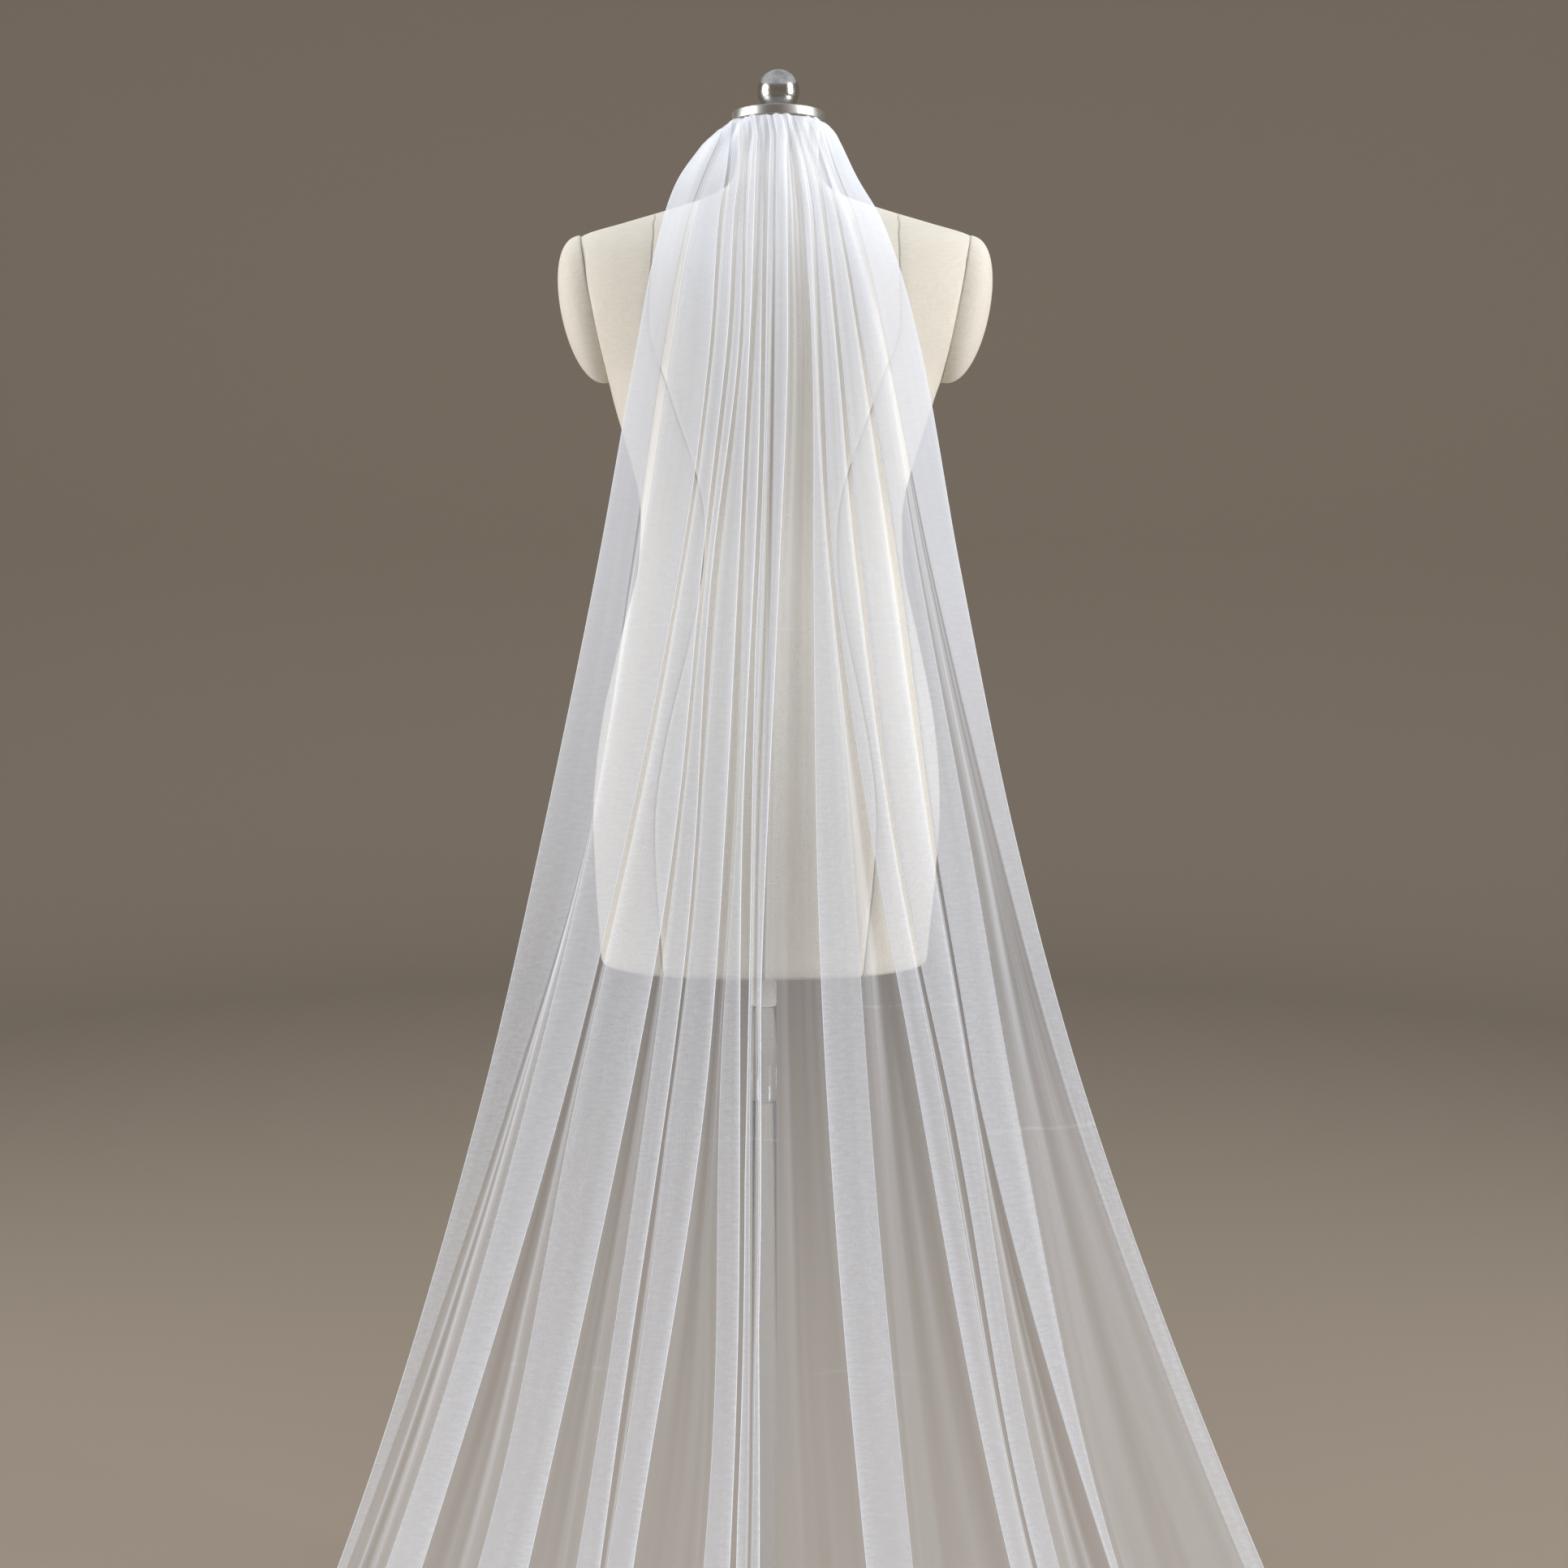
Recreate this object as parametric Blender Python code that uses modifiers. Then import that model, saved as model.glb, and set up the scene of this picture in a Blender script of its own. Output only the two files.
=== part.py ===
"""Bridal veil of plain tulle on a limbless dress form, on a pole stand.

Metres, +Z up. The origin is the foot of the pole, on the floor under the base plate.
The form's back, where the veil falls, faces -Y. The train lies on the floor.
"""

import math

import bmesh
import bpy

COLLECTION = "bridal_veil_on_dress_form"
GAP = 0.0003

# Stand
BASE_RADIUS = 0.140
BASE_THICKNESS = 0.010
BASE_EDGE = 0.002
COLLAR_RADIUS = 0.022
COLLAR_HEIGHT = 0.024
COLLAR_EDGE = 0.001
POLE_RADIUS = 0.0125
POLE_JOINT_Z = 0.614
SOCKET_BOTTOM_Z = 0.711
ROUND_SIDES = 48
SHARP_ANGLE = math.radians(45.0)

# Dress form
TORSO_BOTTOM_Z = 0.757
LEAN = 0.018
TORSO_SIDES = 48
TORSO_RINGS = 34
ARMHOLE_Z = 1.396
ARMHOLE_X = 0.1735
ARMHOLE_TILT = math.radians(11.0)
ARMHOLE_CUTTER_SIZE = 0.40
CAP_HALF_HEIGHT = 0.071
CAP_HALF_DEPTH = 0.049
CAP_BULGE = 0.033
CAP_ROUNDNESS = 0.8
CAP_SIDES = 28
CAP_RINGS = 16
PLATE_RADIUS = 0.0442
PLATE_THICKNESS = 0.009
PLATE_EDGE = 0.0008
PLATE_TOP_Z = 1.580
KNOB_RADIUS = 0.0202
KNOB_FOOT_RADIUS = 0.008
KNOB_FOOT_HEIGHT = 0.0015
KNOB_SIDES = 32
KNOB_STEPS = 14
NECK_RADIUS = 0.040
NECK_TOP_Z = PLATE_TOP_Z - PLATE_THICKNESS - GAP

# Sections of the torso: height, half width, depth to the back, depth to the front, and the
# exponent of the outline, where 2 is an ellipse and less draws the sides out to a point
TORSO_SECTIONS = [
    (TORSO_BOTTOM_Z, 0.162, 0.103, 0.092, 2.3),
    (0.800, 0.1655, 0.108, 0.096, 2.3),
    (0.850, 0.169, 0.114, 0.100, 2.3),
    (0.920, 0.171, 0.117, 0.103, 2.3),
    (1.000, 0.163, 0.109, 0.101, 2.25),
    (1.080, 0.1455, 0.095, 0.096, 2.2),
    (1.140, 0.131, 0.085, 0.091, 2.2),
    (1.176, 0.128, 0.083, 0.091, 2.2),
    (1.210, 0.1285, 0.086, 0.098, 2.2),
    (1.240, 0.135, 0.092, 0.107, 2.2),
    (1.290, 0.150, 0.101, 0.118, 2.2),
    (1.330, 0.163, 0.105, 0.112, 2.2),
    (1.370, 0.185, 0.1045, 0.099, 2.2),
    (1.410, 0.198, 0.098, 0.085, 2.15),
    (1.445, 0.198, 0.085, 0.069, 2.0),
    (1.464, 0.188, 0.073, 0.058, 1.8),
    (1.476, 0.150, 0.064, 0.052, 1.7),
    (1.488, 0.108, 0.056, 0.048, 1.7),
    (1.500, 0.070, 0.050, 0.045, 1.8),
    (1.512, 0.048, 0.0455, 0.043, 1.95),
    (1.530, 0.040, 0.040, 0.040, 2.0),
    (NECK_TOP_Z, NECK_RADIUS, NECK_RADIUS, NECK_RADIUS, 2.0),
]

# Comb
COMB_THICKNESS = 0.002
COMB_HALF_ANGLE = math.radians(52.0)
COMB_TOP_Z = 1.568
COMB_SPINE_HEIGHT = 0.010
COMB_TOOTH_LENGTH = 0.022
COMB_TOOTH_RADIUS = 0.0008
COMB_TOOTH_TAPER = 0.6
COMB_TOOTH_ROOT = 0.003
COMB_TEETH = 15
COMB_TEETH_SHARE = 0.94
COMB_STEPS = 24

# Veil: tulle as a wall. A fold's edge needs FLANK beside it for the layer that climbs over it,
# and FOLD_CLEARANCE is the least room between two folds.
WALL = 0.001
VEIL_TOP_Z = 1.5705
VEIL_TOP_RADIUS = NECK_RADIUS + GAP + COMB_THICKNESS + GAP + WALL / 2
FLANK = 0.0016
FOLD_CLEARANCE = 0.0043
FOLD_MIN_WIDTH = 0.0025
TRAIN_END_Y = -1.235
HEM_CORNER = 0.30
HEM_TURN = math.radians(80.0)
FLOOR_SPREAD = 0.96

# Fall line from the comb to the hem: distance behind the pole, height, and the radius to
# which the veil bends round the form in plan
FALL = [
    (VEIL_TOP_RADIUS, VEIL_TOP_Z, VEIL_TOP_RADIUS),
    (0.050, 1.560, 0.062),
    (0.060, 1.545, 0.080),
    (0.080, 1.510, 0.120),
    (0.101, 1.465, 0.200),
    (0.122, 1.410, 0.350),
    (0.138, 1.340, 0.400),
    (0.148, 1.250, 0.450),
    (0.156, 1.150, 0.500),
    (0.168, 1.030, 0.600),
    (0.184, 0.900, 0.700),
    (0.206, 0.780, 0.800),
    (0.237, 0.660, 0.900),
    (0.279, 0.540, 1.000),
    (0.333, 0.425, 1.100),
    (0.398, 0.320, 1.200),
    (0.475, 0.225, 1.300),
    (0.560, 0.145, 1.400),
    (0.650, 0.080, 1.500),
    (0.745, 0.033, 1.600),
    (0.835, 0.009, 1.600),
    (0.920, WALL / 2, 1.600),
    (1.025, WALL / 2, 1.600),
    (1.130, WALL / 2, 1.600),
    (-TRAIN_END_Y, WALL / 2, 1.600),
]

# The rows of FALL at which FOLDS gives places, and how far the layers of a fold stand apart
# and its ridge stands proud there
LEVELS = {
    "comb": (0, 0.0020, 0.0000),
    "nape": (2, 0.0020, 0.0006),
    "neck": (3, 0.0021, 0.0012),
    "shoulder": (4, 0.0022, 0.0020),
    "blade": (6, 0.0025, 0.0040),
    "waist": (8, 0.0028, 0.0060),
    "hip": (10, 0.0030, 0.0080),
    "thigh": (12, 0.0030, 0.0090),
    "shin": (15, 0.0030, 0.0080),
    "floor": (21, 0.0028, 0.0000),
    "hem": (24, 0.0028, 0.0000),
}

# Folds from left to right, as the camera sees the back. The kind says which way the outer
# layer turns: "edge" is a side edge turned over, "right" has its outer fold at the right
# and "left" at the left. Each pair is the left edge and the width in millimetres at the
# levels nape, neck, shoulder, blade, waist, hip, thigh, shin and hem. On the floor the folds
# keep FLOOR_SPREAD of their hem places.
FOLDS = [
    ("edge", (-57, 18), (-79, 26), (-93, 25), (-116, 25), (-151, 32), (-203, 43), (-257, 26),
     (-354, 9), (-560, 8)),
    ("right", (-34, 5), (-48, 16), (-61, 22), (-82, 34), (-110, 36), (-153, 32), (-211, 35),
     (-310, 32), (-505, 38)),
    ("right", (-24, 4), (-28, 7), (-33, 8), (-43, 13), (-69, 17), (-116, 36), (-165, 46),
     (-234, 45), (-390, 60)),
    ("right", (-15, 3), (-17, 3), (-20, 3), (-25, 3), (-47, 5), (-75, 16), (-104, 18),
     (-149, 18), (-245, 24)),
    ("right", (-8, 4), (-10, 4), (-13, 6), (-18, 8), (-37, 19), (-54, 21), (-81, 28),
     (-126, 23), (-200, 30)),
    ("right", (0, 3), (-1, 3), (-2, 3), (-5, 3), (-13, 6), (-25, 10), (-35, 15), (-46, 23),
     (-85, 34)),
    ("left", (7, 3), (6, 3), (5, 4), (2, 5), (-2, 5), (-10, 5), (-15, 5), (-17, 4), (-30, 5)),
    ("right", (14, 8), (14, 8), (14, 9), (12, 11), (7, 7), (1, 4), (-4, 4), (-6, 4), (-12, 6)),
    ("left", (26, 3), (33, 3), (38, 4), (44, 5), (44, 16), (49, 29), (61, 37), (87, 37),
     (145, 45)),
    ("left", (33, 4), (41, 6), (47, 7), (54, 13), (66, 15), (98, 17), (140, 22), (208, 17),
     (345, 24)),
    ("left", (41, 3), (51, 4), (59, 7), (72, 15), (87, 28), (123, 26), (167, 21), (230, 18),
     (382, 24)),
    ("left", (48, 3), (59, 4), (71, 9), (92, 18), (120, 21), (154, 31), (197, 28), (287, 10),
     (480, 14)),
    ("edge", (60, 14), (71, 18), (87, 25), (115, 31), (154, 27), (215, 18), (281, 17),
     (404, 17), (640, 16)),
]
FOLD_LEVELS = ("nape", "neck", "shoulder", "blade", "waist", "hip", "thigh", "shin", "floor",
               "hem")

# Left edge and width of each fold on the comb, in millimetres round it from its middle
COMB_PLACES = [
    (-60, 5), (-50.5, 5), (-41, 5), (-31.5, 2.5), (-24.7, 3), (-17.4, 2.5), (-10.6, 2.5),
    (-3.8, 6.5), (7, 2.5), (13.8, 3), (21.1, 3), (28.4, 2.5), (41, 19),
]
EASE_SPACING = 0.045

COLOURS = {
    "tulle": ((0.86, 0.87, 0.90, 1.0), 0.85, 0.0),
    "linen": ((0.78, 0.74, 0.66, 1.0), 0.90, 0.0),
    "brushed_steel": ((0.60, 0.60, 0.58, 1.0), 0.35, 1.0),
    "chrome": ((0.75, 0.75, 0.74, 1.0), 0.08, 1.0),
    "acrylic": ((0.85, 0.87, 0.88, 1.0), 0.06, 0.0),
    "white_plastic": ((0.80, 0.79, 0.76, 1.0), 0.50, 0.0),
}


def clear_scene():
    for item in list(bpy.data.objects):
        bpy.data.objects.remove(item, do_unlink=True)


def make_collections():
    parts = bpy.data.collections.new(COLLECTION)
    cutters = bpy.data.collections.new(COLLECTION + "_cutters")
    bpy.context.scene.collection.children.link(parts)
    bpy.context.scene.collection.children.link(cutters)
    return parts, cutters


def make_material(name):
    colour, roughness, metallic = COLOURS[name]
    material = bpy.data.materials.new(name)
    material.use_nodes = True
    shader = material.node_tree.nodes["Principled BSDF"]
    shader.inputs["Base Color"].default_value = colour
    shader.inputs["Roughness"].default_value = roughness
    shader.inputs["Metallic"].default_value = metallic
    return material


def add_object(name, mesh, collection, material, location=(0, 0, 0)):
    item = bpy.data.objects.new(name, mesh)
    item.location = location
    collection.objects.link(item)
    if material:
        mesh.materials.clear()
        mesh.materials.append(material)
    return item


def lean_x(z):
    """Sideways shift of the form at a height, from its lean on the pole."""
    return LEAN * (z - TORSO_BOTTOM_Z)


def cylinder(name, collection, material, radius, bottom, top, x=0.0, bevel=0.0):
    """Upright cylinder between two heights, with rounded edges if a bevel is given."""
    mesh = bpy.data.meshes.new(name)
    solid = bmesh.new()
    bmesh.ops.create_cone(solid, cap_ends=True, segments=ROUND_SIDES, radius1=radius,
                          radius2=radius, depth=top - bottom)
    solid.to_mesh(mesh)
    solid.free()
    mesh.shade_smooth()
    mesh.set_sharp_from_angle(angle=SHARP_ANGLE)
    item = add_object(name, mesh, collection, material, (x, 0, (bottom + top) / 2))
    if bevel:
        rounding = item.modifiers.new("Rounded edges", "BEVEL")
        rounding.width = bevel
        rounding.segments = 2
        rounding.limit_method = "ANGLE"
    return item


def turned(name, collection, material, profile, location, steps):
    """Solid turned from a profile of (radius, height) points that runs from top to bottom."""
    mesh = bpy.data.meshes.new(name)
    points = [(radius, 0.0, height) for radius, height in profile]
    edges = [(i, i + 1) for i in range(len(points) - 1)]
    mesh.from_pydata(points, edges, [])
    item = add_object(name, mesh, collection, material, location)
    screw = item.modifiers.new("Turned", "SCREW")
    screw.steps = steps
    screw.render_steps = steps
    screw.angle = 2 * math.pi
    screw.use_merge_vertices = True
    screw.merge_threshold = 0.00001
    screw.use_normal_calculate = True
    return item


def curve_through(knots, values, at):
    """Smooth curve through values at rising knots, read at one place."""
    last = len(knots) - 1
    at = min(max(at, knots[0]), knots[last])
    i = max(k for k in range(last) if knots[k] <= at)

    def slope(k):
        low, high = max(k - 1, 0), min(k + 1, last)
        return (values[high] - values[low]) / (knots[high] - knots[low])

    span = knots[i + 1] - knots[i]
    t = (at - knots[i]) / span
    rise = t * t * (3 - 2 * t)
    start = t * (1 - t) * (1 - t) * span * slope(i)
    end = t * t * (t - 1) * span * slope(i + 1)
    return values[i] + (values[i + 1] - values[i]) * rise + start + end


def closed_grid(name, outer, inner, collection, material):
    """One closed wall between two grids of points with the same rows and columns."""
    rows, columns = len(outer), len(outer[0])
    mesh = bpy.data.meshes.new(name)
    points = [p for row in outer for p in row] + [p for row in inner for p in row]
    back = rows * columns

    def at(row, column):
        return row * columns + column

    faces = []
    for r in range(rows - 1):
        for c in range(columns - 1):
            quad = (at(r, c), at(r + 1, c), at(r + 1, c + 1), at(r, c + 1))
            faces.append(quad)
            faces.append(tuple(back + i for i in reversed(quad)))
    for r in range(rows - 1):
        left, below = at(r, 0), at(r + 1, 0)
        faces.append((left, back + left, back + below, below))
        right, below = at(r, columns - 1), at(r + 1, columns - 1)
        faces.append((right, below, back + below, back + right))
    for c in range(columns - 1):
        top, beside = at(0, c), at(0, c + 1)
        faces.append((top, beside, back + beside, back + top))
        bottom, beside = at(rows - 1, c), at(rows - 1, c + 1)
        faces.append((bottom, back + bottom, back + beside, beside))
    mesh.from_pydata(points, [], faces)
    mesh.update()
    return add_object(name, mesh, collection, material)


def torso_ring(z):
    """Outline of the form at one height, counted round from its side at +X."""
    heights = [section[0] for section in TORSO_SECTIONS]
    half_width, back, front, power = (
        curve_through(heights, [section[k] for section in TORSO_SECTIONS], z)
        for k in (1, 2, 3, 4)
    )
    ring = []
    for k in range(TORSO_SIDES):
        turn = 2 * math.pi * k / TORSO_SIDES
        across, along = math.cos(turn), math.sin(turn)
        depth = front if along > 0 else back
        x = half_width * math.copysign(abs(across) ** (2 / power), across)
        y = depth * math.copysign(abs(along) ** (2 / power), along)
        ring.append((x + lean_x(z), y, z))
    return ring


def torso_heights():
    """Heights of the rings: closer together at the shoulders, where the form turns in."""
    heights = [section[0] for section in TORSO_SECTIONS]
    steps = len(heights) - 1
    spread = [steps * k / (TORSO_RINGS - 1) for k in range(TORSO_RINGS)]
    return [curve_through(list(range(steps + 1)), heights, s) for s in spread]


def build_torso(parts, cutters, material):
    rings = [torso_ring(z) for z in torso_heights()]
    mesh = bpy.data.meshes.new("torso")
    points = [p for ring in rings for p in ring]
    faces = []
    for r in range(len(rings) - 1):
        for k in range(TORSO_SIDES):
            a, b = r * TORSO_SIDES + k, r * TORSO_SIDES + (k + 1) % TORSO_SIDES
            faces.append((a, b, b + TORSO_SIDES, a + TORSO_SIDES))
    faces.append(tuple(reversed(range(TORSO_SIDES))))
    top = (len(rings) - 1) * TORSO_SIDES
    faces.append(tuple(range(top, top + TORSO_SIDES)))
    mesh.from_pydata(points, [], faces)
    mesh.shade_smooth()
    mesh.set_sharp_from_angle(angle=SHARP_ANGLE)
    torso = add_object("torso", mesh, parts, material)
    for side, sign in (("left", -1), ("right", 1)):
        cutter = armhole_cutter(side, sign, cutters)
        cut = torso.modifiers.new("Armhole " + side, "BOOLEAN")
        cut.operation = "DIFFERENCE"
        cut.solver = "EXACT"
        cut.object = cutter


def armhole_place(sign, out):
    """Point on the armhole's axis, a distance out from its plane, and the plane's tilt."""
    tilt = sign * ARMHOLE_TILT
    centre = lean_x(ARMHOLE_Z) + sign * ARMHOLE_X
    x = centre + sign * out * math.cos(ARMHOLE_TILT)
    z = ARMHOLE_Z - out * math.sin(ARMHOLE_TILT)
    return (x, 0.0, z), tilt


def armhole_cutter(side, sign, cutters):
    """Block outside the armhole's plane, which cuts the form's side flat."""
    mesh = bpy.data.meshes.new("armhole_cutter_" + side)
    block = bmesh.new()
    bmesh.ops.create_cube(block, size=ARMHOLE_CUTTER_SIZE)
    block.to_mesh(mesh)
    block.free()
    place, tilt = armhole_place(sign, ARMHOLE_CUTTER_SIZE / 2)
    cutter = add_object("armhole_cutter_" + side, mesh, cutters, None, place)
    cutter.rotation_euler = (0, tilt, 0)
    cutter.hide_render = True
    cutter.display_type = "WIRE"
    return cutter


def build_cap(side, sign, parts, material):
    """Domed oval cap that stands on the armhole's plane."""
    name = "shoulder_cap_" + side
    mesh = bpy.data.meshes.new(name)
    dome = bmesh.new()
    bmesh.ops.create_uvsphere(dome, u_segments=CAP_SIDES, v_segments=CAP_RINGS, radius=1.0)
    half = bmesh.ops.bisect_plane(dome, geom=dome.verts[:] + dome.edges[:] + dome.faces[:],
                                  plane_co=(0, 0, 0), plane_no=(0, 0, -1), clear_outer=True)
    rim = [edge for edge in half["geom_cut"] if isinstance(edge, bmesh.types.BMEdge)]
    bmesh.ops.contextual_create(dome, geom=rim)
    for point in dome.verts:
        point.co.x *= CAP_HALF_HEIGHT
        point.co.y *= CAP_HALF_DEPTH
        point.co.z = CAP_BULGE * point.co.z ** CAP_ROUNDNESS if point.co.z > 0 else 0.0
    bmesh.ops.recalc_face_normals(dome, faces=dome.faces)
    dome.to_mesh(mesh)
    dome.free()
    mesh.shade_smooth()
    mesh.set_sharp_from_angle(angle=SHARP_ANGLE)
    place, tilt = armhole_place(sign, GAP)
    cap = add_object(name, mesh, parts, material, place)
    cap.rotation_euler = (0, tilt + sign * math.pi / 2, 0)


def build_stand(parts, materials):
    steel, acrylic = materials["brushed_steel"], materials["acrylic"]
    collar_bottom = BASE_THICKNESS + GAP
    collar_top = collar_bottom + COLLAR_HEIGHT
    cylinder("base_plate", parts, steel, BASE_RADIUS, 0.0, BASE_THICKNESS,
             bevel=BASE_EDGE)
    cylinder("base_collar", parts, steel, COLLAR_RADIUS, collar_bottom, collar_top,
             bevel=COLLAR_EDGE)
    cylinder("pole_lower", parts, acrylic, POLE_RADIUS, collar_top + GAP, POLE_JOINT_Z - GAP)
    cylinder("pole_upper", parts, acrylic, POLE_RADIUS, POLE_JOINT_Z, SOCKET_BOTTOM_Z - GAP)
    cylinder("pole_socket", parts, materials["white_plastic"], POLE_RADIUS, SOCKET_BOTTOM_Z,
             TORSO_BOTTOM_Z - GAP)


def build_neck(parts, materials):
    centre = lean_x(NECK_TOP_Z)
    cylinder("neck_plate", parts, materials["brushed_steel"], PLATE_RADIUS,
             PLATE_TOP_Z - PLATE_THICKNESS, PLATE_TOP_Z, x=centre, bevel=PLATE_EDGE)
    start = math.asin(KNOB_FOOT_RADIUS / KNOB_RADIUS)
    middle = KNOB_FOOT_HEIGHT + KNOB_RADIUS * math.cos(start)
    profile = []
    for k in range(KNOB_STEPS + 1):
        angle = (math.pi - start) * k / KNOB_STEPS
        profile.append((KNOB_RADIUS * math.sin(angle), middle + KNOB_RADIUS * math.cos(angle)))
    profile.append((KNOB_FOOT_RADIUS, 0.0))
    profile.append((0.0, 0.0))
    turned("neck_knob", parts, materials["chrome"], profile, (centre, 0, PLATE_TOP_Z + GAP),
           KNOB_SIDES)


def build_comb(parts, cutters, material):
    """Comb bent round the back of the neck: a spine with a row of teeth under it."""
    inner = NECK_RADIUS + GAP
    middle = inner + COMB_THICKNESS / 2
    bottom = COMB_TOP_Z - COMB_SPINE_HEIGHT
    turns = [COMB_HALF_ANGLE * (2 * k / COMB_STEPS - 1) for k in range(COMB_STEPS + 1)]
    faces = [[[(radius * math.sin(turn), -radius * math.cos(turn), z) for turn in turns]
              for z in (COMB_TOP_Z, bottom)]
             for radius in (inner + COMB_THICKNESS, inner)]
    spine = closed_grid("comb", faces[0], faces[1], parts, material)
    spine.location.x = lean_x(NECK_TOP_Z)
    teeth = bmesh.new()
    for k in range(COMB_TEETH):
        turn = COMB_TEETH_SHARE * COMB_HALF_ANGLE * (2 * k / (COMB_TEETH - 1) - 1)
        made = bmesh.ops.create_cone(teeth, cap_ends=True, segments=8, depth=COMB_TOOTH_LENGTH,
                                     radius1=COMB_TOOTH_RADIUS * COMB_TOOTH_TAPER,
                                     radius2=COMB_TOOTH_RADIUS)
        shift = (middle * math.sin(turn), -middle * math.cos(turn),
                 bottom + COMB_TOOTH_ROOT - COMB_TOOTH_LENGTH / 2)
        bmesh.ops.translate(teeth, verts=made["verts"], vec=shift)
    mesh = bpy.data.meshes.new("comb_teeth")
    teeth.to_mesh(mesh)
    teeth.free()
    rake = add_object("comb_teeth", mesh, cutters, None, (lean_x(NECK_TOP_Z), 0, 0))
    rake.hide_render = True
    rake.display_type = "WIRE"
    join = spine.modifiers.new("Teeth", "BOOLEAN")
    join.operation = "UNION"
    join.solver = "EXACT"
    join.object = rake


def fall_lengths():
    """Length of cloth from the comb to each row of FALL."""
    lengths = [0.0]
    for (y0, z0, _), (y1, z1, _) in zip(FALL, FALL[1:]):
        lengths.append(lengths[-1] + math.hypot(y1 - y0, z1 - z0))
    return lengths


def level_value(length, column, lengths):
    """Layer spacing (column 1) or ridge height (column 2) at a length down the veil."""
    knots = [lengths[level[0]] for level in LEVELS.values()]
    return max(0.0, curve_through(knots, [level[column] for level in LEVELS.values()], length))


def fold_places(length, lengths):
    """Left and right edge of every fold at a length down the veil, in plan round the form."""
    knots = [lengths[LEVELS[name][0]] for name in FOLD_LEVELS]
    places = []
    for kind, *pairs in FOLDS:
        hem_left, hem_width = pairs[-1]
        pairs.insert(-1, (hem_left * FLOOR_SPREAD, hem_width))
        left = curve_through(knots, [pair[0] for pair in pairs], length) / 1000
        width = curve_through(knots, [pair[1] for pair in pairs], length) / 1000
        places.append([kind, left, left + max(width, FOLD_MIN_WIDTH)])
    return places


def spaced(places):
    """The same folds, each moved right where it would touch the one before."""
    for before, fold in zip(places, places[1:]):
        push = max(0.0, before[2] + FOLD_CLEARANCE - fold[1])
        fold[1] += push
        fold[2] = max(fold[2], fold[1] + FOLD_MIN_WIDTH)
    return places


def row_folds(row, lengths):
    """Folds of one row, measured as arc lengths from the middle of the veil, and that middle."""
    radius = FALL[row][2]
    nape = LEVELS["nape"][0]
    share = min(1.0, lengths[row] / lengths[nape])
    places = fold_places(max(lengths[row], lengths[nape]), lengths)
    middle = (places[0][1] + places[-1][2]) / 2
    flat_radius = FALL[max(row, nape)][2]
    arcs = [[kind, flat_radius * math.asin((left - middle) / flat_radius),
             flat_radius * math.asin((right - middle) / flat_radius)]
            for kind, left, right in places]
    if share < 1.0:
        for fold, (left, width) in zip(arcs, COMB_PLACES):
            start, end = left / 1000, (left + width) / 1000
            fold[1] = start + (fold[1] - start) * share
            fold[2] = end + (fold[2] - end) * share
        middle = lean_x(VEIL_TOP_Z) + (middle - lean_x(VEIL_TOP_Z)) * share
    return spaced(arcs), middle, radius


def section_line(places, spacing, ridge, eases):
    """Middle line of the cloth across one row, as (arc length, height) points.

    Side edges are two layers and the folds three. Between two folds the cloth lies in the
    low layer, with as many points of ease as the row at the shin has room for.
    """
    line = []
    top = ridge + 2 * spacing
    for k, (kind, left, right) in enumerate(places):
        if kind == "edge" and k == 0:
            line += [(right, spacing), (left, spacing), (left, 0.0)]
        elif kind == "edge":
            line += [(right, 0.0), (right, spacing), (left, spacing)]
        elif kind == "right":
            line += [(left - FLANK, ridge), (left - FLANK, top), (right, top),
                     (right, ridge + spacing), (left, ridge + spacing), (left, ridge)]
        else:
            line += [(right, ridge), (right, ridge + spacing), (left, ridge + spacing),
                     (left, top), (right + FLANK, top), (right + FLANK, ridge)]
        if k < len(places) - 1:
            beside, beside_left, _ = places[k + 1]
            start = right + (FLANK if kind == "left" else 0.0)
            end = beside_left - (FLANK if beside == "right" else 0.0)
            for n in range(eases[k]):
                share = (n + 1) / (eases[k] + 1)
                line.append((start + (end - start) * share, 0.0))
    return line


def both_faces(line):
    """The two faces of the wall along a section's middle line, mitred at its corners."""
    outer, inner = [], []
    last = len(line) - 1
    for k, (a, h) in enumerate(line):
        normals = []
        for i in (k - 1, k):
            if 0 <= i < last:
                da, dh = line[i + 1][0] - line[i][0], line[i + 1][1] - line[i][1]
                size = math.hypot(da, dh)
                normals.append((-dh / size, da / size))
        n0, n1 = normals[0], normals[-1]
        scale = WALL / 2 / (1 + n0[0] * n1[0] + n0[1] * n1[1])
        mitre = ((n0[0] + n1[0]) * scale, (n0[1] + n1[1]) * scale)
        outer.append((a + mitre[0], h + mitre[1]))
        inner.append((a - mitre[0], h - mitre[1]))
    return outer, inner


def fall_slope(row):
    """Outward direction of the fall line at a row, as its parts along -Y and +Z."""
    if row == 0:
        return 1.0, 0.0
    y0, z0, _ = FALL[row - 1]
    y1, z1, _ = FALL[min(row + 1, len(FALL) - 1)]
    if FALL[row][1] <= WALL / 2:
        return 0.0, 1.0
    size = math.hypot(y1 - y0, z1 - z0)
    return (z0 - z1) / size, (y1 - y0) / size


def hem_shift(row, arc, half, lengths):
    """How far the rounded corners of the train draw a point back towards the form."""
    start = lengths[LEVELS["shin"][0]]
    share = max(0.0, (lengths[row] - start) / (lengths[-1] - start)) ** 2
    into = max(0.0, abs(arc) - (half - HEM_CORNER)) / HEM_CORNER
    return HEM_CORNER * (1 - math.cos(min(into, 1.0) * HEM_TURN)) * share


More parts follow.
